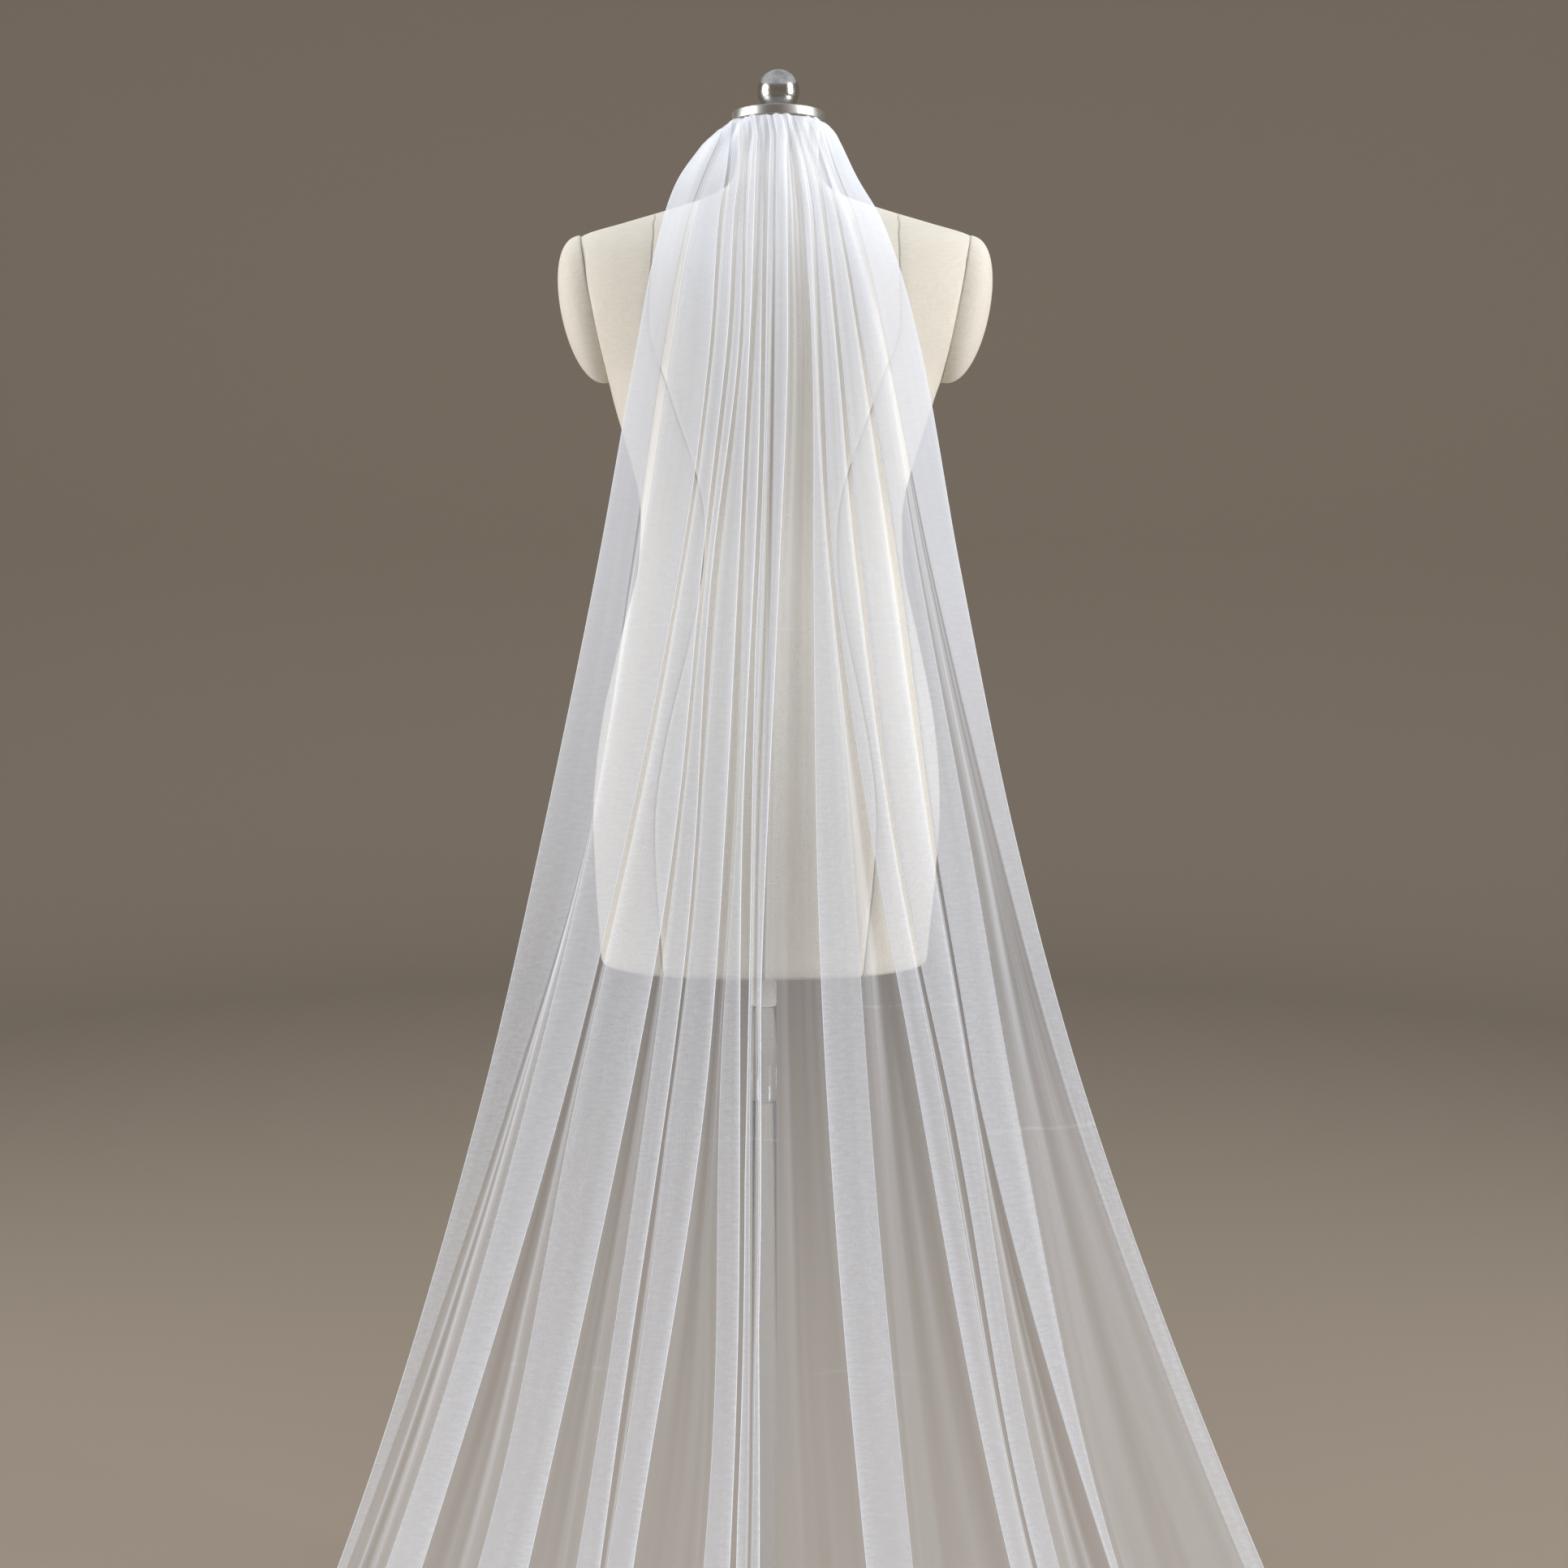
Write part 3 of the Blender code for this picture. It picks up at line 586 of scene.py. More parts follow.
def build_stitching():
    mesh = bpy.data.meshes.new("back_stitching")
    rows = [stitch_row(side * STITCH_OFFSET) for side in (-1, 1)]
    for row in rows:
        part = bpy.data.meshes.new("stitch_row")
        row.to_mesh(part)
        row.free()
        both = bmesh.new()
        both.from_mesh(mesh)
        both.from_mesh(part)
        both.to_mesh(mesh)
        both.free()
        bpy.data.meshes.remove(part)
    mesh.shade_smooth()
    stitching = bpy.data.objects.new("back_stitching", mesh)
    bpy.context.scene.collection.objects.link(stitching)
    return stitching


def sewing_thread():
    material, tree, shader = new_material("sewing_thread", THREAD_COLOUR, 0.7)
    place = add_node(tree, "ShaderNodeTexCoord")
    twist = add_node(tree, "ShaderNodeTexNoise", Scale=2200.0, Detail=1.0)
    tree.links.new(place.outputs["Object"], twist.inputs["Vector"])
    tree.links.new(bump(tree, twist.outputs["Fac"], 0.4, 0.0001), shader.inputs["Normal"])
    tone = mixed_colour(tree, twist.outputs["Fac"], (0.50, 0.47, 0.40, 1.0), THREAD_COLOUR)
    tree.links.new(tone, shader.inputs["Base Color"])
    return material


stitching = build_stitching()
stitching.data.materials.append(sewing_thread())
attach(stitching, "root")


# Shoulder caps. Each is a padded oval dome in the same linen, stood on a flat armhole, with a
# turned rim that leaves a thin dark line where it meets the form.
CAP_HALF_HEIGHT = 0.071
CAP_HALF_DEPTH = 0.049
CAP_BULGE = 0.033
CAP_ROUNDNESS = 0.8
CAP_RIM = 0.0016
CAP_GAP = 0.0003


def build_cap(sign):
    clear_selection()
    bpy.ops.mesh.primitive_uv_sphere_add(segments=96, ring_count=64, radius=1.0)
    cap = bpy.context.active_object
    bpy.ops.object.mode_set(mode="EDIT")
    bpy.ops.mesh.select_all(action="SELECT")
    bpy.ops.mesh.bisect(plane_co=(0, 0, 0), plane_no=(0, 0, -1), use_fill=True,
                        clear_outer=True)
    bpy.ops.object.mode_set(mode="OBJECT")
    for point in cap.data.vertices:
        x, y, up = point.co
        rise = CAP_BULGE * up ** CAP_ROUNDNESS if up > 0.0001 else 0.0
        point.co = (x * CAP_HALF_HEIGHT, y * CAP_HALF_DEPTH, rise)
    lay_uv(cap, [(point.co.x, point.co.y) for point in cap.data.vertices])
    bevelled(cap, CAP_RIM, 3).modifiers[-1].angle_limit = math.radians(60)
    out = CAP_GAP
    cap.location = (lean_x(ARMHOLE_Z) + sign * (ARMHOLE_X + out * math.cos(ARMHOLE_TILT)), 0.0,
                    ARMHOLE_Z - out * math.sin(ARMHOLE_TILT))
    cap.rotation_euler = (0.0, sign * (ARMHOLE_TILT + math.pi / 2), 0.0)
    apply_all(cap)
    smooth_to(cap, 50)
    return cap


for name, sign in (("left", -1), ("right", 1)):
    cap = build_cap(sign)
    dress(cap, "cap_" + name, "linen", linen, "shoulder_cap_" + name)


# Neck. A thick turned steel plate closes the top of the form, brushed round its rim, and a
# polished steel ball on a short foot is screwed into its middle.
PLATE_EDGE = 0.0009
BALL_FOOT_RADIUS = 0.008
BALL_FOOT_HEIGHT = 0.0035
CHROME_COLOUR = (0.74, 0.74, 0.73, 1.0)

plate = turned_disc("neck_plate", PLATE_EDGE)
neck_low, neck_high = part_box("neck_plate")
neck_middle = ((neck_low[0] + neck_high[0]) / 2, 0.0)
plate_steel = brushed_steel("plate_steel", neck_middle)
dress(plate, "plate", "brushed_steel", plate_steel, "neck_plate")


def build_ball():
    """Ball whose underside is cut flat and drawn down into the short foot."""
    low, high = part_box("neck_knob")
    radius = (high[0] - low[0]) / 2
    clear_selection()
    bpy.ops.mesh.primitive_uv_sphere_add(segments=96, ring_count=64, radius=radius,
                                         location=(neck_middle[0], 0.0, high[2] - radius))
    ball = bpy.context.active_object
    bpy.ops.object.transform_apply(location=True)
    bpy.ops.object.mode_set(mode="EDIT")
    bpy.ops.mesh.select_all(action="SELECT")
    drop = math.sqrt(radius ** 2 - BALL_FOOT_RADIUS ** 2)
    level = high[2] - radius - drop
    bpy.ops.mesh.bisect(plane_co=(0, 0, level), plane_no=(0, 0, -1), use_fill=True,
                        clear_outer=True)
    bpy.ops.mesh.extrude_region_move(TRANSFORM_OT_translate={"value": (0, 0, low[2] - level)})
    bpy.ops.object.mode_set(mode="OBJECT")
    smooth_to(ball, 35)
    return ball


def polished_steel():
    material, tree, shader = new_material("polished_steel", CHROME_COLOUR, 0.15, 1.0)
    place = add_node(tree, "ShaderNodeTexCoord")
    wear = place_group(tree, HANDLING, Vector=place.outputs["Object"], Scale=110.0)
    rough = math_node(tree, "MULTIPLY_ADD", wear.outputs["Smudge"], 0.22)
    rough.node.inputs[2].default_value = 0.17
    rough = math_node(tree, "ADD", rough, math_node(tree, "MULTIPLY", wear.outputs["Dust"], 0.2))
    tree.links.new(rough, shader.inputs["Roughness"])
    tone = mixed_colour(tree, wear.outputs["Smudge"], CHROME_COLOUR, (0.42, 0.40, 0.37, 1.0))
    tree.links.new(tone, shader.inputs["Base Color"])
    return material


ball = build_ball()
dress(ball, "ball", "chrome", polished_steel(), "neck_knob")


# Comb. A clear plastic hair comb is bent round the back of the neck, and the gathered top of
# the veil is sewn over its spine, which hides it.
comb_material, comb_tree, comb_shader = new_material("comb_plastic", (0.9, 0.9, 0.9, 1.0), 0.18)
comb_shader.inputs["Transmission Weight"].default_value = 0.8
comb_shader.inputs["IOR"].default_value = 1.49
comb_place = add_node(comb_tree, "ShaderNodeTexCoord")
comb_wear = place_group(comb_tree, HANDLING, Vector=comb_place.outputs["Object"], Scale=60.0)
comb_rough = math_node(comb_tree, "MULTIPLY_ADD", comb_wear.outputs["Smudge"], 0.15)
comb_rough.node.inputs[2].default_value = 0.12
comb_tree.links.new(comb_rough, comb_shader.inputs["Roughness"])
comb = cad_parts["comb"]
comb.data.materials.clear()
comb.data.materials.append(comb_material)


# Veil. One long panel of soft tulle with raw edges and rounded corners is gathered along its
# top onto the comb. It falls over the back in turned folds, which are three layers thick,
# sweeps out and lies on the floor as a train. Its two side edges are turned over.
WALL = 0.001
VEIL_TOP_RADIUS = 0.0431
VEIL_TOP_Z = 1.5705
TRAIN_END_Y = -1.235
HEM_CORNER = 0.30
HEM_TURN = math.radians(80.0)
FLOOR_SPREAD = 0.96
FALL = [
    (VEIL_TOP_RADIUS, VEIL_TOP_Z, VEIL_TOP_RADIUS),
    (0.050, 1.560, 0.062),
    (0.060, 1.545, 0.080),
    (0.080, 1.510, 0.120),
    (0.101, 1.465, 0.200),
    (0.122, 1.410, 0.350),
    (0.138, 1.340, 0.400),
    (0.148, 1.250, 0.450),
    (0.156, 1.150, 0.500),
    (0.168, 1.030, 0.600),
    (0.184, 0.900, 0.700),
    (0.206, 0.780, 0.800),
    (0.237, 0.660, 0.900),
    (0.279, 0.540, 1.000),
    (0.333, 0.425, 1.100),
    (0.398, 0.320, 1.200),
    (0.475, 0.225, 1.300),
    (0.560, 0.145, 1.400),
    (0.650, 0.080, 1.500),
    (0.745, 0.033, 1.600),
    (0.835, 0.009, 1.600),
    (0.920, WALL / 2, 1.600),
    (1.025, WALL / 2, 1.600),
    (1.130, WALL / 2, 1.600),
    (-TRAIN_END_Y, WALL / 2, 1.600),
]
LEVELS = {
    "comb": (0, 0.0020, 0.0000),
    "nape": (2, 0.0020, 0.0006),
    "neck": (3, 0.0021, 0.0012),
    "shoulder": (4, 0.0022, 0.0020),
    "blade": (6, 0.0025, 0.0040),
    "waist": (8, 0.0028, 0.0060),
    "hip": (10, 0.0030, 0.0080),
    "thigh": (12, 0.0030, 0.0090),
    "shin": (15, 0.0030, 0.0080),
    "floor": (21, 0.0028, 0.0000),
    "hem": (24, 0.0028, 0.0000),
}
FOLD_LEVELS = ("nape", "neck", "shoulder", "blade", "waist", "hip", "thigh", "shin", "floor",
               "hem")
FOLDS = [
    ("edge", (-57, 18), (-79, 26), (-93, 25), (-116, 25), (-151, 32), (-203, 43), (-257, 26),
     (-354, 9), (-560, 8)),
    ("right", (-34, 5), (-48, 16), (-61, 22), (-82, 34), (-110, 36), (-153, 32), (-211, 35),
     (-310, 32), (-505, 38)),
    ("right", (-24, 4), (-28, 7), (-33, 8), (-43, 13), (-69, 17), (-116, 36), (-165, 46),
     (-234, 45), (-390, 60)),
    ("right", (-15, 3), (-17, 3), (-20, 3), (-25, 3), (-47, 5), (-75, 16), (-104, 18),
     (-149, 18), (-245, 24)),
    ("right", (-8, 4), (-10, 4), (-13, 6), (-18, 8), (-37, 19), (-54, 21), (-81, 28),
     (-126, 23), (-200, 30)),
    ("right", (0, 3), (-1, 3), (-2, 3), (-5, 3), (-13, 6), (-25, 10), (-35, 15), (-46, 23),
     (-85, 34)),
    ("left", (7, 3), (6, 3), (5, 4), (2, 5), (-2, 5), (-10, 5), (-15, 5), (-17, 4), (-30, 5)),
    ("right", (14, 8), (14, 8), (14, 9), (12, 11), (7, 7), (1, 4), (-4, 4), (-6, 4), (-12, 6)),
    ("left", (26, 3), (33, 3), (38, 4), (44, 5), (44, 16), (49, 29), (61, 37), (87, 37),
     (145, 45)),
    ("left", (33, 4), (41, 6), (47, 7), (54, 13), (66, 15), (98, 17), (140, 22), (208, 17),
     (345, 24)),
    ("left", (41, 3), (51, 4), (59, 7), (72, 15), (87, 28), (123, 26), (167, 21), (230, 18),
     (382, 24)),
    ("left", (48, 3), (59, 4), (71, 9), (92, 18), (120, 21), (154, 31), (197, 28), (287, 10),
     (480, 14)),
    ("edge", (60, 14), (71, 18), (87, 25), (115, 31), (154, 27), (215, 18), (281, 17),
     (404, 17), (640, 16)),
]
COMB_PLACES = [
    (-60, 5), (-50.5, 5), (-41, 5), (-31.5, 2.5), (-24.7, 3), (-17.4, 2.5), (-10.6, 2.5),
    (-3.8, 6.5), (7, 2.5), (13.8, 3), (21.1, 3), (28.4, 2.5), (41, 19),
]
FOLD_CLEARANCE = 0.0043
FOLD_MIN_WIDTH = 0.0025
ROW_STEP_TOP = 0.006
ROW_STEP = 0.017
GAP_POINTS = 14
TOP_POINTS = 8
UNDER_POINTS = 4
CLIMB_WIDTH = 0.012
LAYER_SHARE = 0.55
LIFT_LENGTH = 0.34
LIFTS_AT_NECK = [1.0, 0.5, 0.3, 0.1, 0.8, 0.1, 0.7, 1.0, 0.8, 0.1, 0.1, 0.1, 1.0]
CROWN = 0.0022
CROWN_AT_NECK = 0.0014
WAVES = [5.1, 7.7, 4.3, 6.2, 8.9]
WOBBLE = 0.0022
GATHERED_LENGTH = 0.22
FOLD_DENSE_SHARE = 0.15
SCALLOP = 0.0013
SMALL_GAP = 0.030
WIDE_FOLD = 0.030
ROLL = 0.65
INNER_ROLL = 0.5
EDGE_CROWDED = 0.72
CROWDED_LENGTH = 1.25

# Broad soft pleats under the plate: their middles on the comb and a hand's width lower down,
# half widths and heights, all in millimetres, and the length at which they have run out
PLEATS = [
    (-46, -70, 13, 2.6, 0.26), (-27, -38, 11, 3.4, 0.34), (-9, -14, 9, 2.2, 0.22),
    (4, 10, 10, 3.6, 0.40), (24, 34, 10, 2.4, 0.24), (39, 58, 12, 3.2, 0.30),
]

# Soft gathers between the folds: the gap they lie in, how far across it, their half width as
# a share of it, their height in millimetres, and the lengths down the veil where they begin,
# stand highest and have run out
GATHERS = [
    (0, 0.30, 0.16, 1.6, 0.00, 0.10, 0.60), (0, 0.68, 0.14, 1.3, 0.00, 0.06, 0.35),
    (1, 0.38, 0.15, 1.8, 0.00, 0.12, 0.85), (1, 0.74, 0.12, 1.2, 0.00, 0.05, 0.30),
    (2, 0.34, 0.18, 1.4, 0.00, 0.08, 0.55), (2, 0.72, 0.16, 1.9, 0.00, 0.14, 1.10),
    (3, 0.50, 0.24, 1.5, 0.00, 0.10, 0.70), (4, 0.40, 0.20, 1.2, 0.00, 0.07, 0.40),
    (4, 0.76, 0.16, 1.4, 0.05, 0.20, 1.30), (5, 0.50, 0.26, 1.5, 0.00, 0.09, 0.80),
    (6, 0.46, 0.22, 1.3, 0.00, 0.10, 0.50), (7, 0.22, 0.13, 1.8, 0.00, 0.10, 0.90),
    (7, 0.50, 0.13, 1.4, 0.00, 0.06, 0.45), (7, 0.78, 0.12, 1.7, 0.00, 0.12, 1.40),
    (8, 0.36, 0.17, 1.5, 0.00, 0.08, 0.60), (8, 0.72, 0.15, 1.8, 0.04, 0.22, 1.20),
    (9, 0.50, 0.22, 1.6, 0.00, 0.10, 0.75), (10, 0.34, 0.16, 1.4, 0.00, 0.07, 0.50),
    (10, 0.70, 0.15, 1.7, 0.00, 0.15, 0.95), (11, 0.32, 0.15, 1.5, 0.00, 0.09, 0.55),
    (11, 0.70, 0.16, 1.9, 0.02, 0.16, 1.10), (0, 0.52, 0.20, 3.5, 0.60, 1.20, 2.00),
    (1, 0.55, 0.22, 2.6, 0.70, 1.40, 2.10), (2, 0.45, 0.22, 3.0, 0.50, 1.10, 1.90),
    (5, 0.40, 0.20, 2.2, 0.80, 1.30, 1.80), (7, 0.32, 0.14, 3.4, 0.50, 1.00, 1.90),
    (7, 0.62, 0.16, 4.2, 0.60, 1.25, 2.05), (8, 0.50, 0.22, 3.8, 0.55, 1.15, 2.00),
    (9, 0.50, 0.24, 2.2, 0.70, 1.30, 1.90), (10, 0.46, 0.20, 3.2, 0.60, 1.20, 2.00),
    (11, 0.50, 0.22, 3.6, 0.55, 1.20, 2.05),
]

# How deep the cloth sags between folds, from gap to gap, as a share of the ridge height
GAP_SAGS = [0.8, 1.0, 0.6, 0.9, 0.7, 0.5, 0.8, 1.0, 0.9, 0.7, 1.0, 0.8]


def fall_lengths():
    """Length of cloth from the comb to each row of FALL."""
    lengths = [0.0]
    for (y0, z0, _), (y1, z1, _) in zip(FALL, FALL[1:]):
        lengths.append(lengths[-1] + math.hypot(y1 - y0, z1 - z0))
    return lengths


LENGTHS = fall_lengths()
NAPE_LENGTH = LENGTHS[LEVELS["nape"][0]]


def eased(share):
    return share * share * (3 - 2 * share)


def fall_at(length):
    """Distance behind the pole, height and bend radius at a length down the veil."""
    behind, z, radius = (curve_through(LENGTHS, [row[k] for row in FALL], length)
                         for k in range(3))
    return behind, max(z, WALL / 2), radius


def fall_slope(length):
    """Outward direction of the fall line at a length, as its parts along -Y and +Z."""
    if length >= LENGTHS[LEVELS["floor"][0]]:
        return 0.0, 1.0
    y0, z0, _ = fall_at(max(length - 0.01, 0.0))
    y1, z1, _ = fall_at(length + 0.01)
    size = math.hypot(y1 - y0, z1 - z0)
    below = eased(min(1.0, length / 0.012))
    return 1 - below + below * (z0 - z1) / size, below * (y1 - y0) / size


def level_value(length, column):
    knots = [LENGTHS[level[0]] for level in LEVELS.values()]
    return max(0.0, curve_through(knots, [level[column] for level in LEVELS.values()], length))


def fold_places(length):
    """Left and right edge of every fold at a length down the veil, in plan round the form."""
    knots = [LENGTHS[LEVELS[name][0]] for name in FOLD_LEVELS]
    places = []
    for kind, *pairs in FOLDS:
        hem_left, hem_width = pairs[-1]
        pairs.insert(-1, (hem_left * FLOOR_SPREAD, hem_width))
        left = curve_through(knots, [pair[0] for pair in pairs], length) / 1000
        width = curve_through(knots, [pair[1] for pair in pairs], length) / 1000
        places.append([kind, left, left + max(width, FOLD_MIN_WIDTH)])
    return places


def row_folds(length):
    """Folds at a length as arc lengths from the middle of the veil, and that middle."""
    share = min(1.0, length / NAPE_LENGTH)
    low = max(length, NAPE_LENGTH)
    places = fold_places(low)
    middle = (places[0][1] + places[-1][2]) / 2
    radius = fall_at(low)[2]
    arcs = [[kind, radius * math.asin((left - middle) / radius),
             radius * math.asin((right - middle) / radius)] for kind, left, right in places]
    if share < 1.0:
        for fold, (left, width) in zip(arcs, COMB_PLACES):
            start, end = left / 1000, (left + width) / 1000
            fold[1] = start + (fold[1] - start) * share
            fold[2] = end + (fold[2] - end) * share
        middle = lean_x(VEIL_TOP_Z) + (middle - lean_x(VEIL_TOP_Z)) * share
    for k, fold in enumerate(arcs[1:-1]):
        sway = WOBBLE * eased(min(1.0, length / 0.4))
        fold[1] += sway * math.sin(length * WAVES[k % 5] * 1.3 + 1.7 * k)
        fold[2] += sway * math.sin(length * WAVES[(k + 2) % 5] * 1.1 + 2.9 * k)
    for before, fold in zip(arcs, arcs[1:]):
        push = max(0.0, before[2] + FOLD_CLEARANCE - fold[1])
        fold[1] += push
        fold[2] = max(fold[2], fold[1] + FOLD_MIN_WIDTH)
    return arcs, middle


def bend(arc, high, low):
    """Points round the edge of a fold that bulges to the right, from its high layer down."""
    radius = (high - low) / 2
    return [(arc - radius + radius * math.sin(turn), (high + low) / 2 + radius * math.cos(turn))
            for turn in (math.pi / 4, math.pi / 2, 3 * math.pi / 4)]


def straight(start, end, height, points):
    return [(start + (end - start) * k / (points - 1), height) for k in range(points)]


def turned_fold(left, right, ridge, spacing, climb, crown):
    """Three layers whose outer fold is at the right, as (arc, height, mark) points.

    The mark is 0 for one layer, 1 in a fold and up to 2 where the cloth turns at its edges.
    """
    top, inner = ridge + 2 * spacing, ridge + spacing
    reach = right - spacing / 2
    line = [(left - climb * (1 - share), ridge + 2 * spacing * eased(share), 0.0)
            for share in (0.25, 0.5, 0.75)]
    for k, (arc, height) in enumerate(straight(left, reach, top, TOP_POINTS)):
        share = k / (TOP_POINTS - 1)
        line.append((arc, height + crown * 4 * share * (1 - share), 1.0 + ROLL * share ** 3))
    line += [(a, h, 2.0) for a, h in bend(right, top, inner)]
    line += [(a, h, 1.0) for a, h in straight(reach, left + spacing / 2, inner, UNDER_POINTS)]
    line += [(2 * left + spacing - a, h, 1.0 + INNER_ROLL)
             for a, h in bend(left + spacing, inner, ridge)]
    line += [(a, h, 1.0) for a, h in straight(left + spacing / 2, right, ridge, UNDER_POINTS)]
    return line


def mirrored(line):
    return [(-a, h, mark) for a, h, mark in reversed(line)]


def edge_fold(left, right, spacing, crowded):
    """Side edge of the veil, turned over towards the back, with its raw edge at the right."""
    reach, mark = left + spacing / 2, 1.0 + crowded
    line = [(a, h, mark) for a, h in straight(right, reach, spacing, TOP_POINTS)]
    line += [(2 * left + spacing - a, h, 2.0) for a, h in bend(left + spacing, spacing, 0.0)]
    line += [(a, h, mark) for a, h in straight(reach, right, 0.0, TOP_POINTS)]
    return line


def gathered(gap, share, length, room):
    """Height of the soft gathers at a place across a gap, low where it has little room."""
    total = 0.0
    for place, across, half, height, start, peak, end in GATHERS:
        if place == gap and start <= length < end and abs(share - across) < half:
            profile = (1 - ((share - across) / half) ** 2) ** 2
            if length < peak:
                rise = 0.5 + 0.5 * eased((length - start) / (peak - start)) if start < 0.01 \
                    else eased((length - start) / (peak - start))
            else:
                rise = eased((end - length) / (end - peak))
            total += height / 1000 * profile * rise
    return total * min(1.0, room / SMALL_GAP)


def pleated(arc, length):
    """Height of the broad pleats at a place round the neck, all layers of the cloth together."""
    total = 0.0
    for top, low, half, height, end in PLEATS:
        if length < end:
            middle = (top + (low - top) * length / 0.10) / 1000
            reach = half / 1000 * (1 + length / 0.15)
            away = abs(arc - middle) / reach
            if away < 1.0:
                total += height / 1000 * (1 - away * away) ** 2 * (1 - eased(length / end))
    return total


def section_line(places, spacing, ridge, length):
    """Middle line of the cloth across one row, as (arc, height, mark) points."""
    folds = []
    settled = eased(min(1.0, length / LIFT_LENGTH))
    crowded = EDGE_CROWDED * settled * (1 - eased(min(1.0, length / CROWDED_LENGTH)))
    for k, (kind, left, right) in enumerate(places):
        lift = LIFTS_AT_NECK[k] + (1 - LIFTS_AT_NECK[k]) * settled
        apart, low = spacing * LAYER_SHARE * lift, ridge * lift
        swell = 0.6 + 0.4 * math.sin(length * WAVES[k % 5] + 2.3 * k)
        crown = (CROWN + CROWN_AT_NECK * (1 - settled)) * swell
        crown *= min(1.0, (right - left) / WIDE_FOLD)
        before = left - places[k - 1][2] if k else 1.0
        after = places[k + 1][1] - right if k < len(places) - 1 else 1.0
        if kind == "edge" and k == 0:
            folds.append(edge_fold(left, right, apart, crowded))
        elif kind == "edge":
            folds.append(mirrored(edge_fold(-right, -left, apart, crowded)))
        elif kind == "right":
            climb = min(CLIMB_WIDTH, 0.4 * before)
            folds.append(turned_fold(left, right, low, apart, climb, crown))
        else:
            climb = min(CLIMB_WIDTH, 0.4 * after)
            folds.append(mirrored(turned_fold(-right, -left, low, apart, climb, crown)))
    line = list(folds[0])
    for gap, fold in enumerate(folds[1:]):
        (start, start_height, _), (end, end_height, _) = line[-1], fold[0]
        sag = GAP_SAGS[gap] * min(1.0, (end - start) / SMALL_GAP)
        for n in range(GAP_POINTS):
            share = (n + 1) / (GAP_POINTS + 1)
            level = start_height + (end_height - start_height) * eased(share)
            level *= 1 - sag * math.sin(math.pi * share)
            level += gathered(gap, share, length, end - start)
            line.append((start + (end - start) * share, max(level, 0.0), 0.0))
        line += fold
    return line


def hem_shift(length, arc, half):
    """How far the rounded corners of the train draw a point back towards the form."""
    start = LENGTHS[LEVELS["shin"][0]]
    share = max(0.0, (length - start) / (LENGTHS[-1] - start)) ** 2
    into = max(0.0, abs(arc) - (half - HEM_CORNER)) / HEM_CORNER
    return HEM_CORNER * (1 - math.cos(min(into, 1.0) * HEM_TURN)) * share


def row_lengths():
    """Lengths down the veil at which it has a row: close together at the gathers."""
    rows = [0.0]
    while rows[-1] < LENGTHS[-1]:
        share = min(1.0, rows[-1] / 0.5)
        rows.append(rows[-1] + ROW_STEP_TOP + (ROW_STEP - ROW_STEP_TOP) * share)
    return [row * LENGTHS[-1] / rows[-1] for row in rows]


def veil_row(length):
    """Places in space, places on the cloth and layer marks of one row."""
    places, middle = row_folds(length)
    behind, z, radius = fall_at(length)
    outward, upward = fall_slope(length)
    line = section_line(places, level_value(length, 1), level_value(length, 2), length)
    half = (places[-1][2] - places[0][1]) / 2
    near_top = max(0.0, 1 - length / 0.03)
    dense = 1 - eased(min(1.0, length / GATHERED_LENGTH))
    points, cloth, marks, around = [], [], [], 0.0
    for k, (arc, height, mark) in enumerate(line):
        turn = arc / radius
        drawn = hem_shift(length, arc, half)
        lifted = height + pleated(arc, length)
        x = middle + (radius + outward * lifted) * math.sin(turn)
        y = -behind + drawn + radius * (1 - math.cos(turn)) - math.cos(turn) * outward * lifted
        dip = 0.5 + 0.5 * math.sin(420 * arc + 2 * math.sin(190 * arc))
        up = z + upward * lifted - SCALLOP * near_top * dip
        points.append((x, y, up))
        if k:
            around += math.hypot(arc - line[k - 1][0], height - line[k - 1][1])
        cloth.append(around)
        inside = min(1.0, (half - abs(arc)) / half / 0.35)
        full = dense if mark < 0.5 else dense * inside * FOLD_DENSE_SHARE
        marks.append((min(mark, 1.0), max(mark - 1.0, 0.0), full, k / (len(line) - 1)))
    cloth = [(u - around / 2, length) for u in cloth]
    return points, cloth, marks


def build_veil():
    rows = [veil_row(length) for length in row_lengths()]
    columns = len(rows[0][0])
    faces = []
    for r in range(len(rows) - 1):
        for c in range(columns - 1):
            a = r * columns + c
            faces.append((a, a + columns, a + columns + 1, a + 1))
    mesh = bpy.data.meshes.new("tulle_veil")
    mesh.from_pydata([p for row in rows for p in row[0]], [], faces)
    mesh.shade_smooth()
    veil = bpy.data.objects.new("tulle_veil", mesh)
    bpy.context.scene.collection.objects.link(veil)
    lay_uv(veil, [place for row in rows for place in row[1]])
    for k, name in enumerate(("layered", "turned", "dense", "across")):
        layer = mesh.attributes.new(name, "FLOAT", "POINT")
        layer.data.foreach_set("value", [mark[k] for row in rows for mark in row[2]])
    return veil


